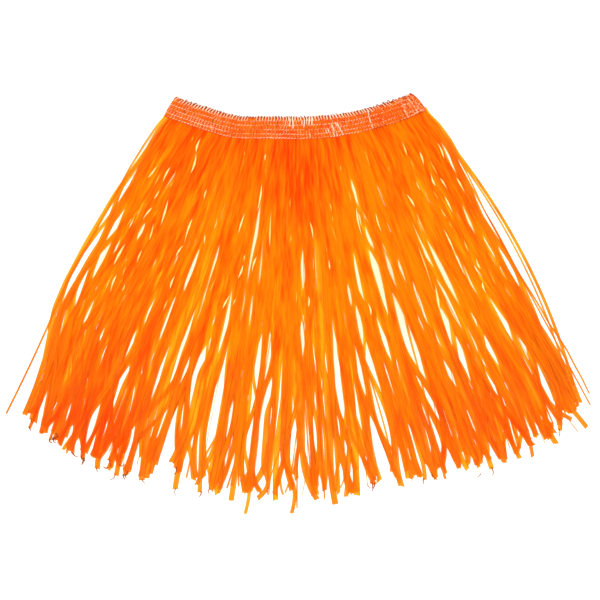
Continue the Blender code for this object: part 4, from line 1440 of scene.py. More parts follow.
def band_object():
    fine = 0.55
    front = int(FRONT_LONG / fine)
    s = np.concatenate([
        np.linspace(0.0, FRONT_LONG, front, endpoint=False),
        FRONT_LONG + np.linspace(0.0, FOLD_LONG, 11, endpoint=False),
        FRONT_LONG + FOLD_LONG + np.linspace(0.0, FRONT_LONG, front, endpoint=False),
        2.0 * FRONT_LONG + FOLD_LONG + np.linspace(0.0, FOLD_LONG, 11, endpoint=False),
    ])
    down_out = np.linspace(0.0, 1.0, 33)
    down_in = np.array([0.985, 0.72, 0.5, 0.28, 0.015])
    outer = WALL_OUT - 0.72 + swell(s[:, None], down_out[None, :])
    # Both edges of the cloth are round.
    edge = np.minimum(down_out, 1.0 - down_out) * DEEP
    outer = WALL_IN + (outer - WALL_IN) * (0.45 + 0.55 * np.sqrt(np.clip(edge / 1.1, 0.0, 1.0)))[None, :]
    ragged = np.zeros((len(s), len(down_out)))
    ragged[:, :3] = (0.7 + noise_line(1.6, 31)(s) * 0.40 + noise_line(4.5, 32)(s) * 0.40)[:, None] * np.array([1.0, 0.7, 0.3])[None, :]
    place_out, _ = around(s[:, None], down_out[None, :] + ragged / DEEP, outer)
    place_in, _ = around(s[:, None], down_in[None, :], WALL_IN)
    verts = np.concatenate([place_out, place_in], axis=1)
    across = verts.shape[1]
    u = np.broadcast_to(s[:, None], (len(s), across))
    v = np.concatenate([down_out, 2.0 - down_in])[None, :] + np.zeros((len(s), 1))
    bake_v = (np.arange(across) + 0.5) / (across + 0.5)
    tone = np.zeros((len(s), across))
    where = np.stack([place_out[..., 0], place_out[..., 1]], axis=-1)
    for across_px, down_px, reach_across, reach_down, by in REDDER:
        rel = where - spot(across_px, down_px)
        tone[:, : len(down_out)] += by * np.exp(-((rel[..., 0] / reach_across) ** 2) - (rel[..., 1] / reach_down) ** 2)
    # The last column repeats the first, so that the texture has a seam to end at.
    def closed(values, last=None):
        tail = values[:1] if last is None else last
        return np.concatenate([values, tail], axis=0)

    verts = closed(verts)
    rows = len(verts)
    uvs = np.stack([closed(u, np.full((1, across), ROUND)) / 100.0, closed(v)], axis=-1)
    bake = np.stack([
        np.broadcast_to((0.002 + 0.996 * np.append(s, ROUND) / ROUND)[:, None], (rows, across)),
        np.broadcast_to(bake_v[None, :], (rows, across)),
    ], axis=-1)
    made = new_object(
        "waistband_cloth",
        verts.reshape(-1, 3) * MM,
        grid_faces(rows, across, round_columns=True),
        uvs.reshape(-1, 2),
        {"tone": closed(tone).ravel(), "swell": closed(np.concatenate([outer, np.full((len(s), len(down_in)), WALL_IN)], axis=1)).ravel()},
        bake.reshape(-1, 2),
    )
    return made


# ---- threads ------------------------------------------------------------------------------------------------------
class Threads:
    """Thin tubes of thread, joined in one mesh."""

    def __init__(self):
        self.runs = []

    def add(self, points, outward, radius, tone):
        count = len(points)
        radius = np.broadcast_to(np.asarray(radius, float), (count,)).copy()
        tone = np.broadcast_to(np.asarray(tone, float), (count,)).copy()
        self.runs.append((np.asarray(points, float), np.asarray(outward, float), radius, tone))

    def object(self, name, sides=5):
        verts, faces, uvs, bake, tones, first = [], [], [], [], [], 0
        count = len(self.runs)
        wide = int(math.ceil(math.sqrt(count)))
        turn = np.linspace(0.0, 2.0 * np.pi, sides, endpoint=False) + 0.3
        for n, (points, outward, radius, tone) in enumerate(self.runs):
            way = np.gradient(points, axis=0)
            way /= np.maximum(np.linalg.norm(way, axis=1, keepdims=True), 1e-9)
            aside = np.cross(way, outward)
            aside /= np.maximum(np.linalg.norm(aside, axis=1, keepdims=True), 1e-9)
            up = np.cross(aside, way)
            ring = (
                points[:, None, :]
                + (aside[:, None, :] * np.cos(turn)[None, :, None] + up[:, None, :] * np.sin(turn)[None, :, None])
                * radius[:, None, None]
            )
            ring[..., 2] = np.maximum(ring[..., 2], 0.02)  # the back half's threads are pressed flat
            verts.append(ring.reshape(-1, 3))
            faces.append(grid_faces(len(points), sides, round_columns=True) + first)
            first += len(points) * sides
            run = np.concatenate([[0.0], np.cumsum(np.linalg.norm(np.diff(points, axis=0), axis=1))])
            u = np.broadcast_to((np.arange(sides) / sides)[None, :], (len(points), sides))
            v = np.broadcast_to(run[:, None], (len(points), sides))
            uvs.append(np.stack([u, v / 10.0 + n * 0.37], axis=-1).reshape(-1, 2))
            cell_u, cell_v = (n % wide) / wide, (n // wide) / wide
            bake.append(np.stack([
                cell_u + (0.06 + 0.88 * u) / wide, cell_v + (0.04 + 0.92 * v / max(run[-1], 1e-6)) / wide
            ], axis=-1).reshape(-1, 2))
            tones.append(np.broadcast_to(tone[:, None], (len(points), sides)).ravel())
        return new_object(
            name,
            np.concatenate(verts) * MM,
            np.concatenate(faces),
            np.concatenate(uvs),
            {"tone": np.concatenate(tones)},
            np.concatenate(bake),
        )


def surface_out(s, down):
    return WALL_OUT - 0.72 + swell(np.asarray(s, float), np.asarray(down, float))


JOIN_FROM = FRONT_LONG - 19.0 + 1.4
JOIN_TO = FRONT_LONG + 0.9
JOIN_OUT = BAND_WALL + BAND_SLIT / 2.0 + 0.3  # its underside


def under_join(s):
    s = np.mod(s, ROUND)
    return (s > JOIN_FROM - 0.3) & (s < JOIN_TO + 0.6)


def stitch(threads, s0, down0, s1, down1, radius, tone, lift=0.32, sink=0.35, base=None, steps=6):
    """A short float of thread over the cloth, in at one end and out at the other."""
    t = np.linspace(0.0, 1.0, steps)
    s, down = s0 + (s1 - s0) * t, down0 + (down1 - down0) * t
    level = surface_out(s, np.clip(down, 0.02, 0.98)) if base is None else base(s, down)
    level = np.maximum(level, level.mean())
    out = level + lift * np.sin(np.pi * t) ** 0.5 - sink * (np.abs(2.0 * t - 1.0) ** 4)
    points, outward = around(s, down, out)
    threads.add(points, outward, radius * (0.75 + 0.25 * np.sin(np.pi * t)), tone)


def chain(threads, k, starts, stops, base, seed):
    """One row of chain stitch: short slanted stitches, one after another, with a short dark stitch between them for the
    deep cloth there and its painted shade.
    """
    source = np.random.default_rng(seed)
    paler, slow = noise_line(7.0, 600 + seed), noise_line(4.0, 720 + seed)
    count = int(round((stops - starts) / 2.9))
    pitch = (stops - starts) / count
    for n in range(count):
        s = starts + (n + 0.5) * pitch + float(source.normal(0.0, 0.12))
        half, bright = float(mirrored(s)), 0.0
        for across, reach, by in PALER_ROWS:
            bright += by * math.exp(-(((half - on_band(across, 125.0)[0]) / reach) ** 2))
        tone = 0.14 + 0.26 * float(paler(s)) + bright * (0.5 + 0.5 * float(slow(s))) + float(source.normal(0.0, 0.08))
        down, rise = float(row_at(k, s)), (0.46 + float(source.normal(0.0, 0.09))) / DEEP
        long = 0.5 * pitch - 0.12 + float(source.normal(0.0, 0.12))
        stitch(threads, s - long, down + rise, s + long, down - rise, 0.56, max(tone, -0.05), 0.30, base=base, steps=5)
        # The short dark stitch between each two is painted shade on the deep cloth.
        if source.random() < 0.9:
            at, dark = s + pitch / 2.0, float(source.uniform(-0.6, -0.15))
            stitch(threads, at - 0.15, down - 0.045, at + 0.15, down + 0.045, 0.38, dark, 0.12, base=base, steps=4)


def picot(threads, s, high, wide, radius, tone, lean=0.0, sits=1.0):
    """A small loop of thread that stands above the band's top edge."""
    t = np.linspace(0.0, 1.0, 9)
    down = 0.06 - (high / DEEP + 0.06) * np.sin(np.pi * t)
    at = s + wide * (t - 0.5) * (1.0 + 0.8 * np.sin(np.pi * t)) + lean * np.sin(np.pi * t)
    out = sits + 0.5 * (t - 0.5) + 0.4 * np.sin(np.pi * t)
    points, outward = around(at, down, out)
    shade = tone if np.isscalar(tone) else tone[0] + (tone[1] - tone[0]) * np.sin(np.pi * t) ** 2
    threads.add(points, outward, radius, shade)


def strength(table, s, down):
    """How strongly the places of a table act at a place on the band's front half."""
    total = 0.0
    for across, down_px, reach_along, reach_down, by in table:
        at, deep = on_band(across, down_px)
        total += by * math.exp(-(((s - at) / reach_along) ** 2) - ((deep - down) * DEEP / reach_down) ** 2)
    return total


def level_between(s, down):
    return surface_out(s, np.clip(down, 0.02, 0.98)) - np.where(under_join(s), 0.7, 0.0)


chains, ticks, picots = Threads(), Threads(), Threads()
for k in range(len(ROWS)):
    chain(chains, k, 0.0, ROUND, level_between, 10 + k)

# Short stitches between the rows, pale and dark by turns; the dark ones are painted shade between the pale ones.
stitches = np.random.default_rng(77)
for k in range(len(ROWS) - 1):
    s = 0.4
    while s < ROUND - 0.6:
        s += float(stitches.uniform(2.5, 3.2))
        if under_join(s):
            continue
        half = float(mirrored(s))
        strong = 0.20 + strength(TICKED, half, (ROWS[k] + ROWS[k + 1]) / 2.0) + 0.16 * float(row_wave[k][1](s))
        lean = (half / FRONT_LONG - 0.5) * -0.9
        for dark, off, chance in ((True, 0.0, 0.9), (False, 1.4, 0.04 + 0.85 * strong)):
            if stitches.random() > chance:
                continue
            at, slant = s + off + float(stitches.normal(0.0, 0.15)), lean + float(stitches.normal(0.0, 0.25))
            top, foot = float(row_at(k, at)) + 0.03, float(row_at(k + 1, at)) - 0.03
            tone = -0.12 - 0.45 * stitches.random() if dark else np.clip(0.55 * strong + stitches.normal(0, 0.10), 0, 1)
            stitch(ticks, at + slant, top, at - slant, foot, 0.32 if dark else 0.24, float(tone), 0.08 if dark else 0.2)

# The strands' folded heads along the top edge, pale, with dark stitches of painted shade between them.
s = 0.2
while s < ROUND - 1.8:
    s += float(stitches.uniform(2.8, 3.4))
    half = float(mirrored(s))
    if under_join(s):
        continue
    strong = strength(PALE_HEADS, half, 0.08)
    lean = (half / FRONT_LONG - 0.5) * -2.0 + float(stitches.normal(0.0, 0.2))
    foot = ROWS[0] + float(stitches.normal(0.0, 0.015))
    shade_tone = float(-0.50 - 0.35 * strong - 0.25 * stitches.random())
    high = float(stitches.uniform(0.01, 0.055))
    stitch(ticks, s + lean * 0.6, -high, s - lean * 0.5, foot - 0.05, 0.42, shade_tone, 0.16)
    pale_at = s + 1.55 + float(stitches.normal(0.0, 0.12))
    if stitches.random() < 0.85 + strong:
        tone = float(np.clip(0.54 + 1.1 * strong + stitches.normal(0.0, 0.14), 0.0, 1.15))
        stitch(ticks, pale_at + lean * 0.5, float(stitches.uniform(-0.04, 0.01)), pale_at - lean * 0.5, foot, 0.50 + 0.10 * strong, tone, 0.34)

# Picots and the strands' folded heads, standing a little above the edge; the dark ones are partly dark cut ends and
# partly painted shade.
s = 0.8
while s < ROUND - 0.8:
    s += float(stitches.uniform(1.5, 4.2))
    high = float(stitches.uniform(0.2, 1.5))
    tone = float(stitches.choice((-0.8, -0.55, 0.2, 0.75), p=(0.34, 0.30, 0.20, 0.16)))
    lean = (float(mirrored(s)) / FRONT_LONG - 0.5) * -0.9
    picot(picots, s, high, float(stitches.uniform(0.7, 1.3)), 0.24, tone, lean, float(stitches.uniform(0.9, 1.7)))
for across, down_px, wide, tone in LOOPS:
    at, deep = on_band(across, down_px)
    picot(picots, at, max(0.3, -deep * DEEP), wide, 0.36, (tone * 0.5, tone), 0.0, 1.4)

for a_across, a_down, b_across, b_down, thick, tone in FLOATS:
    (s0, down0), (s1, down1) = on_band(a_across, a_down), on_band(b_across, b_down)
    stitch(ticks, s0, down0, s1, down1, thick / 2.0, tone, 0.42, steps=10)

# The side join: the strip's end lapped over the front half, with its own rows and the stitches that hold it down.
def join_level(s, down):
    edge_s = np.minimum(s - JOIN_FROM, JOIN_TO - s)
    edge_d = np.minimum(down - 0.035, 0.965 - down) * DEEP
    edge = np.clip(np.minimum(edge_s, edge_d) / 1.0, 0.0, 1.0)
    return JOIN_OUT + 0.12 + (0.30 + swell(s + 40.0, down)) * np.sqrt(edge)


def join_object():
    s = np.linspace(JOIN_FROM, JOIN_TO, 42)
    down = np.linspace(0.035, 0.965, 33)
    top = join_level(s[:, None], down[None, :])
    top_place, _ = around(s[:, None], down[None, :], top)
    low_place, _ = around(s[:, None], down[None, :], JOIN_OUT)
    rows, columns = len(s), len(down)
    verts = np.concatenate([top_place.reshape(-1, 3), low_place.reshape(-1, 3)])
    over = grid_faces(rows, columns)
    below = over[:, ::-1] + rows * columns
    index = np.arange(rows * columns).reshape(rows, columns)
    rim = np.concatenate([index[0, :-1], index[:-1, -1], index[-1, :0:-1], index[:0:-1, 0]])
    after = np.roll(rim, -1)
    wall = np.stack([rim, after, after + rows * columns, rim + rows * columns], axis=-1)
    u = np.broadcast_to(s[:, None], (rows, columns))
    v = np.broadcast_to(down[None, :], (rows, columns))
    uvs = np.stack([u / 100.0 + 0.4, v], axis=-1).reshape(-1, 2)
    share = (u - JOIN_FROM) / (JOIN_TO - JOIN_FROM)
    flat_bake = np.stack([0.02 + 0.46 * share, 0.02 + 0.96 * v], axis=-1).reshape(-1, 2)
    low_bake = np.stack([0.52 + 0.46 * share, 0.02 + 0.96 * v], axis=-1).reshape(-1, 2)
    made = new_object(
        "side_join_lap",
        verts * MM,
        np.concatenate([over, below, wall]),
        np.concatenate([uvs, uvs]),
        {"tone": np.zeros(len(verts)), "swell": np.full(len(verts), 2.0)},
        np.concatenate([flat_bake, low_bake]),
    )
    return made


join_threads = Threads()
for k in range(len(ROWS)):
    chain(join_threads, k, JOIN_FROM + 0.3, JOIN_TO - 0.4, lambda s, down: join_level(s, np.clip(down, 0.08, 0.93)), 40 + k)
for a_across, a_down, b_across, b_down, thick, tone in JOIN_STITCHES:
    (s0, down0), (s1, down1) = on_band(a_across, a_down), on_band(b_across, b_down)
    count = max(1, int(round(math.hypot(s1 - s0, (down1 - down0) * DEEP) / 4.6)))
    for part in range(count):
        t0, t1 = (part + 0.04) / count, (part + 0.96) / count
        stitch(
            join_threads, s0 + (s1 - s0) * t0, down0 + (down1 - down0) * t0, s0 + (s1 - s0) * t1, down0 + (down1 - down0) * t1,
            thick / 2.0, tone + float(stitches.normal(0, 0.06)), 0.42, base=join_level, steps=8,
        )
# Short stitches between the lap's rows, pale and dark; the dark ones are painted shade.
for k in range(-1, len(ROWS) - 1):
    s = JOIN_FROM + 0.6
    while s < JOIN_TO - 1.2:
        s += float(stitches.uniform(0.95, 1.35))
        top = 0.05 if k < 0 else float(row_at(k, s)) + 0.02
        foot = float(row_at(k + 1, s)) - 0.02
        dark = stitches.random() < 0.62
        tone = float(-0.7 + 0.5 * stitches.random()) if dark else float(np.clip(stitches.normal(0.22, 0.2), 0.0, 0.8))
        stitch(join_threads, s - 0.5, top, s + 0.45, foot, 0.24, tone, 0.12 if dark else 0.24, base=join_level)


# ---- materials ----------------------------------------------------------------------------------------------------
def tree_of(name):
    made = bpy.data.materials.new(name)
    made.use_nodes = True
    nodes = made.node_tree.nodes
    nodes.clear()
    return made, nodes, made.node_tree.links


def node(nodes, kind, **settings):
    made = nodes.new(kind)
    for key_, value in settings.items():
        setattr(made, key_, value)
    return made


def math_node(nodes, links, operation, a, b=None, clamp=False):
    made = node(nodes, "ShaderNodeMath", operation=operation, use_clamp=clamp)
    for slot_, value in ((0, a), (1, b)):
        if value is None:
            continue
        if isinstance(value, (int, float)):
            made.inputs[slot_].default_value = value
        else:
            links.new(value, made.inputs[slot_])
    return made.outputs[0]


def mix_colour(nodes, links, factor, a, b, blend="MIX"):
    made = node(nodes, "ShaderNodeMix", data_type="RGBA", blend_type=blend)
    for slot_, value in ((0, factor), (6, a), (7, b)):
        if isinstance(value, (int, float)):
            made.inputs[slot_].default_value = value
        elif isinstance(value, tuple):
            made.inputs[slot_].default_value = (*value, 1.0)
        else:
            links.new(value, made.inputs[slot_])
    return made.outputs[2]


def noise_of(nodes, links, x, y, z, detail=2.0, rough=0.6):
    """Noise at a place given by three values, numbers or sockets."""
    vec = node(nodes, "ShaderNodeCombineXYZ")
    for slot_, value in enumerate((x, y, z)):
        if isinstance(value, (int, float)):
            vec.inputs[slot_].default_value = value
        else:
            links.new(value, vec.inputs[slot_])
    noise = node(nodes, "ShaderNodeTexNoise", noise_dimensions="3D")
    noise.inputs["Scale"].default_value = 1.0
    noise.inputs["Detail"].default_value = detail
    noise.inputs["Roughness"].default_value = rough
    links.new(vec.outputs[0], noise.inputs["Vector"])
    return noise.outputs["Fac"]


def attributes(nodes, *names):
    return [node(nodes, "ShaderNodeAttribute", attribute_name=name).outputs["Fac"] for name in names]


def uv_of(nodes, links):
    split = node(nodes, "ShaderNodeSeparateXYZ")
    links.new(node(nodes, "ShaderNodeUVMap", uv_map="UVMap").outputs[0], split.inputs[0])
    return split.outputs[0], split.outputs[1]


def plastic(nodes, links, colour, rough, specular, height, strength_, distance):
    bump = node(nodes, "ShaderNodeBump")
    bump.inputs["Strength"].default_value = strength_
    bump.inputs["Distance"].default_value = distance
    links.new(height, bump.inputs["Height"])
    shader = node(nodes, "ShaderNodeBsdfPrincipled")
    shader.inputs["Roughness"].default_value = rough
    shader.inputs["Specular IOR Level"].default_value = specular
    links.new(colour, shader.inputs["Base Color"])
    links.new(bump.outputs[0], shader.inputs["Normal"])
    return shader


def film_material():
    """Split film: light comes through a single strand, and deepens where strands cross."""
    made, nodes, links = tree_of("raffia_film")
    out = node(nodes, "ShaderNodeOutputMaterial")
    tone, wide, seed, pale, lane, reach = attributes(nodes, "tone", "wide", "seed", "pale", "lane", "reach")
    u, v = uv_of(nodes, links)

    def m(operation, a, b=None, clamp=False):
        return math_node(nodes, links, operation, a, b, clamp)

    def streaks(per_lane, per_reach, slant, at, detail=1.0):
        """Streaks that run down the fringe over many strands, on a slant."""
        x = m("MULTIPLY", m("ADD", lane, m("MULTIPLY", reach, slant)), per_lane)
        value = m("SUBTRACT", noise_of(nodes, links, x, m("MULTIPLY", reach, per_reach), at, detail), 0.5)
        return m("MULTIPLY", value, m("SUBTRACT", 1.95, m("MULTIPLY", reach, 0.0020)))

    across = m("MULTIPLY", u, wide)  # mm
    fine = noise_of(nodes, links, m("MULTIPLY", across, 1.5), m("MULTIPLY", v, 22.0), m("ADD", seed, 31.7), 3.0)
    patch = noise_of(nodes, links, 0.3, m("MULTIPLY", v, 10.0), m("ADD", seed, 57.1), 1.0)
    # Painted shade and painted highlight along a strand's edges: here and there one edge is painted deeper and the
    # other paler.
    sided = m("MULTIPLY", m("SUBTRACT", noise_of(nodes, links, 0.6, m("MULTIPLY", v, 8.0), m("ADD", seed, 83.3), 0.0), 0.5), 3.0)
    from_middle = m("SUBTRACT", u, 0.5)
    edge = m("MULTIPLY", m("SUBTRACT", m("ABSOLUTE", from_middle), 0.26), 4.2, True)
    edge = m("MULTIPLY", edge, m("MULTIPLY", m("MULTIPLY", from_middle, 2.0), sided))
    t = m("MULTIPLY", tone, FILM["tone"])
    t = m("ADD", t, m("MULTIPLY", streaks(0.16, 0.013, 0.0, 3.0), FILM["lane"]))
    t = m("ADD", t, m("MULTIPLY", streaks(0.40, 0.040, 0.10, 7.0), FILM["cross"]))
    t = m("ADD", t, m("MULTIPLY", streaks(0.40, 0.040, -0.10, 13.0), FILM["cross"]))
    t = m("ADD", t, m("MULTIPLY", m("SUBTRACT", patch, 0.5), FILM["patch"]))
    t = m("ADD", t, m("MULTIPLY", m("SUBTRACT", fine, 0.5), FILM["fine"]))
    t = m("ADD", t, m("MULTIPLY", edge, FILM["edge"]))
    t = m("SUBTRACT", t, m("MULTIPLY", m("MULTIPLY", m("SUBTRACT", reach, 340.0), 0.010, True), FILM["lighter_low"]))
    # Worn and frosted towards the cut ends, and unlike from strand to strand.
    low = m("MULTIPLY", m("SUBTRACT", reach, 430.0), 0.0060, True)
    hem = m("MULTIPLY", m("SUBTRACT", reach, 490.0), 0.0080, True)
    t = m("ADD", t, m("MULTIPLY", m("MULTIPLY", hem, tone), FILM["hem_tone"]))
    t = m("ADD", t, FILM["level"], True)
    face = mix_colour(nodes, links, t, FILM["face_light"], FILM["face_deep"])
    frost = noise_of(nodes, links, 0.3, m("MULTIPLY", v, 2.5), m("ADD", seed, 101.3), 0.0)
    frost = m("MULTIPLY", hem, m("ADD", m("MULTIPLY", m("SUBTRACT", frost, 0.5), 3.6), 0.5, True))
    # So are the strands along the fringe's two sides, where each lies by itself.
    outer = m("MULTIPLY", m("SUBTRACT", m("ABSOLUTE", lane), 153.0), 0.12, True)
    outer = m("MULTIPLY", outer, m("MULTIPLY", m("SUBTRACT", reach, 292.0), 0.04, True))
    frost = m("MAXIMUM", frost, m("MULTIPLY", outer, FILM["outer"]))
    worn = m("ADD", m("MULTIPLY", low, m("MULTIPLY", m("SUBTRACT", fine, 0.52), 1.1, True)), m("MULTIPLY", frost, FILM["frost_face"]), True)
    face = mix_colour(nodes, links, worn, face, FILM["face_low"])
    # Painted highlight: a pale sliver gets a deep orange rim and a cream middle.
    face = mix_colour(nodes, links, m("MULTIPLY", pale, 2.0, True), face, FILM["rim"])
    face = mix_colour(nodes, links, m("SUBTRACT", m("MULTIPLY", pale, 2.0), 1.0, True), face, FILM["pale"])
    # Painted shade: a fine brown line along a strand's edge where strands lie apart, lost where they are packed.
    apart = m("ADD", m("MULTIPLY", m("SUBTRACT", reach, 330.0), 0.0045, True), 0.25, True)
    inside = m("MULTIPLY", m("SUBTRACT", 0.5, m("ABSOLUTE", from_middle)), wide)
    line = m("MULTIPLY", m("SUBTRACT", m("ADD", m("MULTIPLY", hem, 0.22), 0.70), inside), 2.2, True)
    line = m("MULTIPLY", m("MULTIPLY", line, apart), m("ADD", m("MULTIPLY", sided, 0.6), 0.6, True))
    brown = m("ADD", m("MULTIPLY", line, FILM["line"]), m("MULTIPLY", pale, -1.0, True), True)
    face = mix_colour(nodes, links, brown, face, FILM["burnt"])
    # A fibre that has split away is painted browner still: painted shade, for fine film seen edge-on.
    fibre = m("MULTIPLY", m("MULTIPLY", pale, -1.0, True), 0.85)
    face = mix_colour(nodes, links, fibre, face, FILM["fibre"])
    through = mix_colour(nodes, links, t, FILM["through_light"], FILM["through_deep"])
    through = mix_colour(nodes, links, m("ADD", m("MULTIPLY", low, 0.25), m("ADD", m("MULTIPLY", hem, 0.08), m("MULTIPLY", frost, FILM["frost_through"]))), through, FILM["through_low"])
    film = plastic(nodes, links, face, 0.5, FILM["gloss"], fine, 0.35, 0.0005)
    lit = node(nodes, "ShaderNodeBsdfTranslucent")
    both = node(nodes, "ShaderNodeMixShader")
    # The light through the film takes the same painted shade of the edge line, and of the curled fibres.
    through = mix_colour(nodes, links, m("MULTIPLY", brown, 0.8), through, FILM["burnt"])
    through = mix_colour(nodes, links, fibre, through, FILM["fibre"])
    links.new(through, lit.inputs["Color"])
    share = m("MULTIPLY", m("SUBTRACT", 1.0, m("MULTIPLY", frost, FILM["frost_share"])), FILM["share"])
    links.new(m("MULTIPLY", m("SUBTRACT", 1.0, m("MULTIPLY", pale, 0.9, True)), share), both.inputs[0])
    links.new(film.outputs[0], both.inputs[1])
    links.new(lit.outputs[0], both.inputs[2])
    links.new(both.outputs[0], out.inputs[0])
    made.diffuse_color = (1.0, 0.25, 0.02, 1.0)
    return made


def cloth_material():
    """The band's cloth: film gathered into the crochet, with painted shade that makes it deep orange in its folds."""
    made, nodes, links = tree_of("waistband_weave")
    out = node(nodes, "ShaderNodeOutputMaterial")
    tone, full = attributes(nodes, "tone", "swell")
    u, v = uv_of(nodes, links)

    def m(operation, a, b=None, clamp=False):
        return math_node(nodes, links, operation, a, b, clamp)

    along = m("MULTIPLY", u, 100.0)  # mm
    deep = m("MULTIPLY", v, DEEP)
    broad = noise_of(nodes, links, m("MULTIPLY", along, 0.30), m("MULTIPLY", deep, 0.16), 3.0)
    fold = noise_of(nodes, links, m("MULTIPLY", along, 1.0), m("MULTIPLY", deep, 0.22), 11.0, 2.0)
    fine = noise_of(nodes, links, m("MULTIPLY", along, 3.1), m("MULTIPLY", deep, 0.7), 23.0, 3.0)
    t = m("MULTIPLY", m("SUBTRACT", broad, 0.5), 1.5)
    t = m("ADD", t, m("MULTIPLY", m("SUBTRACT", fold, 0.5), 1.3))
    t = m("ADD", t, m("MULTIPLY", m("SUBTRACT", fine, 0.5), 0.9))
    # Painted shade: the lower the cloth's surface lies, in the pinches at the rows, between ribs and at its round
    # edges, the deeper its orange.
    t = m("ADD", t, m("MULTIPLY", m("SUBTRACT", WALL_OUT - 0.30, full), 0.55))
    t = m("ADD", t, m("MULTIPLY", tone, 0.5))
    t = m("ADD", t, 0.42, True)
    colour = mix_colour(nodes, links, t, BAND["light"], BAND["deep"])
    shader = plastic(nodes, links, colour, 0.6, 0.05, fine, 0.35, 0.0003)
    links.new(shader.outputs[0], out.inputs[0])
    made.diffuse_color = (0.9, 0.15, 0.01, 1.0)
    return made


def thread_material():
    """Thread: brown at -0.8, burnt orange just below 0, peach at 0 and cream at 1, with painted shade in the turns of
    its twist.
    """
    made, nodes, links = tree_of("stitch_thread")
    out = node(nodes, "ShaderNodeOutputMaterial")
    (tone,) = attributes(nodes, "tone")
    u, v = uv_of(nodes, links)

    def m(operation, a, b=None, clamp=False):
        return math_node(nodes, links, operation, a, b, clamp)

    twist = noise_of(nodes, links, m("MULTIPLY", u, 3.0), m("MULTIPLY", v, 22.0), 5.0, 2.0)
    patch = noise_of(nodes, links, 0.2, m("MULTIPLY", v, 4.0), 9.0, 1.0)
    t = m("ADD", tone, m("MULTIPLY", m("SUBTRACT", patch, 0.5), 0.5))
    pale = mix_colour(nodes, links, m("MAXIMUM", t, 0.0, True), THREAD["peach"], THREAD["cream"])
    low = mix_colour(nodes, links, m("MULTIPLY", t, -1.25, True), THREAD["burnt"], THREAD["dark"])
    colour = mix_colour(nodes, links, m("MULTIPLY", t, -8.0, True), pale, low)
    # Painted shade in the turns of the twist.
    colour = mix_colour(nodes, links, m("MULTIPLY", m("SUBTRACT", 0.55, twist), 0.9, True), colour, THREAD["shade"], "MULTIPLY")
    shader = plastic(nodes, links, colour, 0.65, 0.08, twist, 0.4, 0.0002)
    links.new(shader.outputs[0], out.inputs[0])
    made.diffuse_color = (1.0, 0.5, 0.3, 1.0)
    return made


FILM_LOOK, CLOTH_LOOK, THREAD_LOOK = film_material(), cloth_material(), thread_material()
back, back_area, back_long = fringe_object("fringe_back_strands", meshes[0])
# The front half carries the slivers of painted highlight and the curled fibres.
front, front_area, front_long = fringe_object("fringe_front_strands", meshes[1], PAINTED_GLINTS)
cloth, lap = band_object(), join_object()
chain_rows = chains.object("waistband_chain_rows", 4)
tick_rows = ticks.object("waistband_stitches")
picot_row = picots.object("waistband_picots")
lap_stitches = join_threads.object("side_join_stitches")
for made, look, slot in (
    (back, FILM_LOOK, "raffia"),
    (front, FILM_LOOK, "raffia"),
    (cloth, CLOTH_LOOK, "elastic"),
    (chain_rows, THREAD_LOOK, "stitching"),
    (tick_rows, THREAD_LOOK, "stitching"),
    (picot_row, THREAD_LOOK, "stitching"),
    (lap, CLOTH_LOOK, "elastic"),
    (lap_stitches, THREAD_LOOK, "stitching"),
):
    made.data.materials.append(look)
    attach(made, "root")
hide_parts("fringe_back")
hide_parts("fringe_front")
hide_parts("waistband")
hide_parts("side_join")

# ---- stage --------------------------------------------------------------------------------------------------------
floor_mesh = bpy.data.meshes.new("floor")
floor_mesh.from_pydata([(-4, -4, 0), (4, -4, 0), (4, 4, 0), (-4, 4, 0)], [], [(0, 1, 2, 3)])
floor = bpy.data.objects.new("floor", floor_mesh)
bpy.context.scene.collection.objects.link(floor)
floor_look, nodes, links = tree_of("floor_with_painted_glow")
shader = node(nodes, "ShaderNodeBsdfDiffuse")
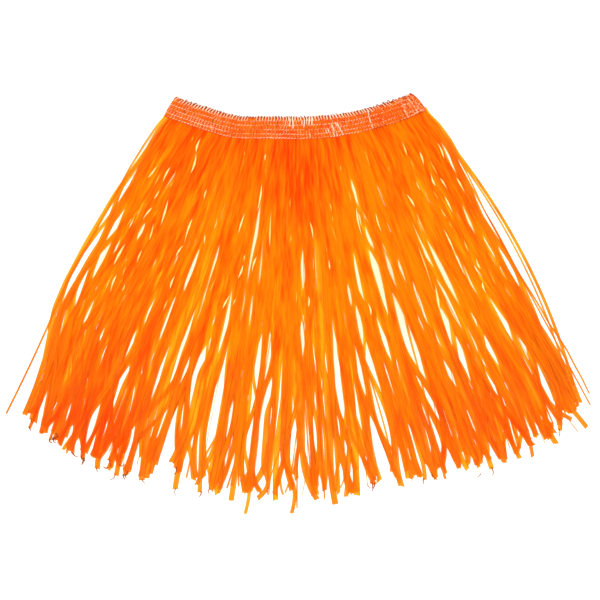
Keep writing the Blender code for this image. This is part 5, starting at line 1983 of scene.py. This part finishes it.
# Painted light: the ground under the skirt is painted warm, for the light that has come through the film.
place = node(nodes, "ShaderNodeSeparateXYZ")
links.new(node(nodes, "ShaderNodeTexCoord").outputs["Object"], place.inputs[0])
pole = polar(0.0, 0.0) * MM
px = math_node(nodes, links, "SUBTRACT", place.outputs[0], float(pole[0]))
py = math_node(nodes, links, "SUBTRACT", float(pole[1]), place.outputs[1])
far = math_node(nodes, links, "SQRT", math_node(nodes, links, "ADD", math_node(nodes, links, "MULTIPLY", px, px), math_node(nodes, links, "MULTIPLY", py, py)))
turned = math_node(nodes, links, "ABSOLUTE", math_node(nodes, links, "ARCTAN2", px, py))
in_reach = math_node(nodes, links, "MULTIPLY", math_node(nodes, links, "SUBTRACT", 0.66, far), 4.6, True)
in_turn = math_node(nodes, links, "MULTIPLY", math_node(nodes, links, "SUBTRACT", math.radians(27.2), turned), 50.0, True)
below_band = math_node(nodes, links, "MULTIPLY", math_node(nodes, links, "SUBTRACT", far, 0.262), 60.0, True)
painted_glow = math_node(nodes, links, "MULTIPLY", math_node(nodes, links, "MULTIPLY", in_reach, in_turn), below_band)
links.new(mix_colour(nodes, links, painted_glow, GROUND["plain"], GROUND["painted_glow"]), shader.inputs[0])
links.new(shader.outputs[0], node(nodes, "ShaderNodeOutputMaterial").inputs[0])
floor_mesh.materials.append(floor_look)

scene = bpy.context.scene
world = bpy.data.worlds.new("studio")
world.use_nodes = True
world.node_tree.nodes["Background"].inputs[0].default_value = (1.0, 1.0, 1.0, 1.0)
world.node_tree.nodes["Background"].inputs[1].default_value = LIGHT["world"]
scene.world = world


lamp = bpy.data.lights.new("key", "SUN")
lamp.energy = LIGHT["sun"]
lamp.angle = math.radians(LIGHT["soft_deg"])
key_light = bpy.data.objects.new("key", lamp)
key_light.rotation_euler = Vector(LIGHT["shines"]).to_track_quat("-Z", "Y").to_euler()
scene.collection.objects.link(key_light)
# Light goes through many layers of film before it is spent.
scene.cycles.max_bounces = 16
scene.cycles.diffuse_bounces = 12
scene.view_settings.view_transform = "Standard"
scene.view_settings.look = "None"
scene.view_settings.exposure = LIGHT["exposure"]

camera = bpy.data.cameras.new("camera")
camera.sensor_width = 36.0
HIGH = 1.8
camera.lens = 36.0 * (HIGH - 0.002) / 0.600
middle = spot(299.5, 299.5) * MM
eye = bpy.data.objects.new("camera", camera)
eye.location = (middle[0], middle[1], HIGH)
scene.collection.objects.link(eye)
scene.camera = eye
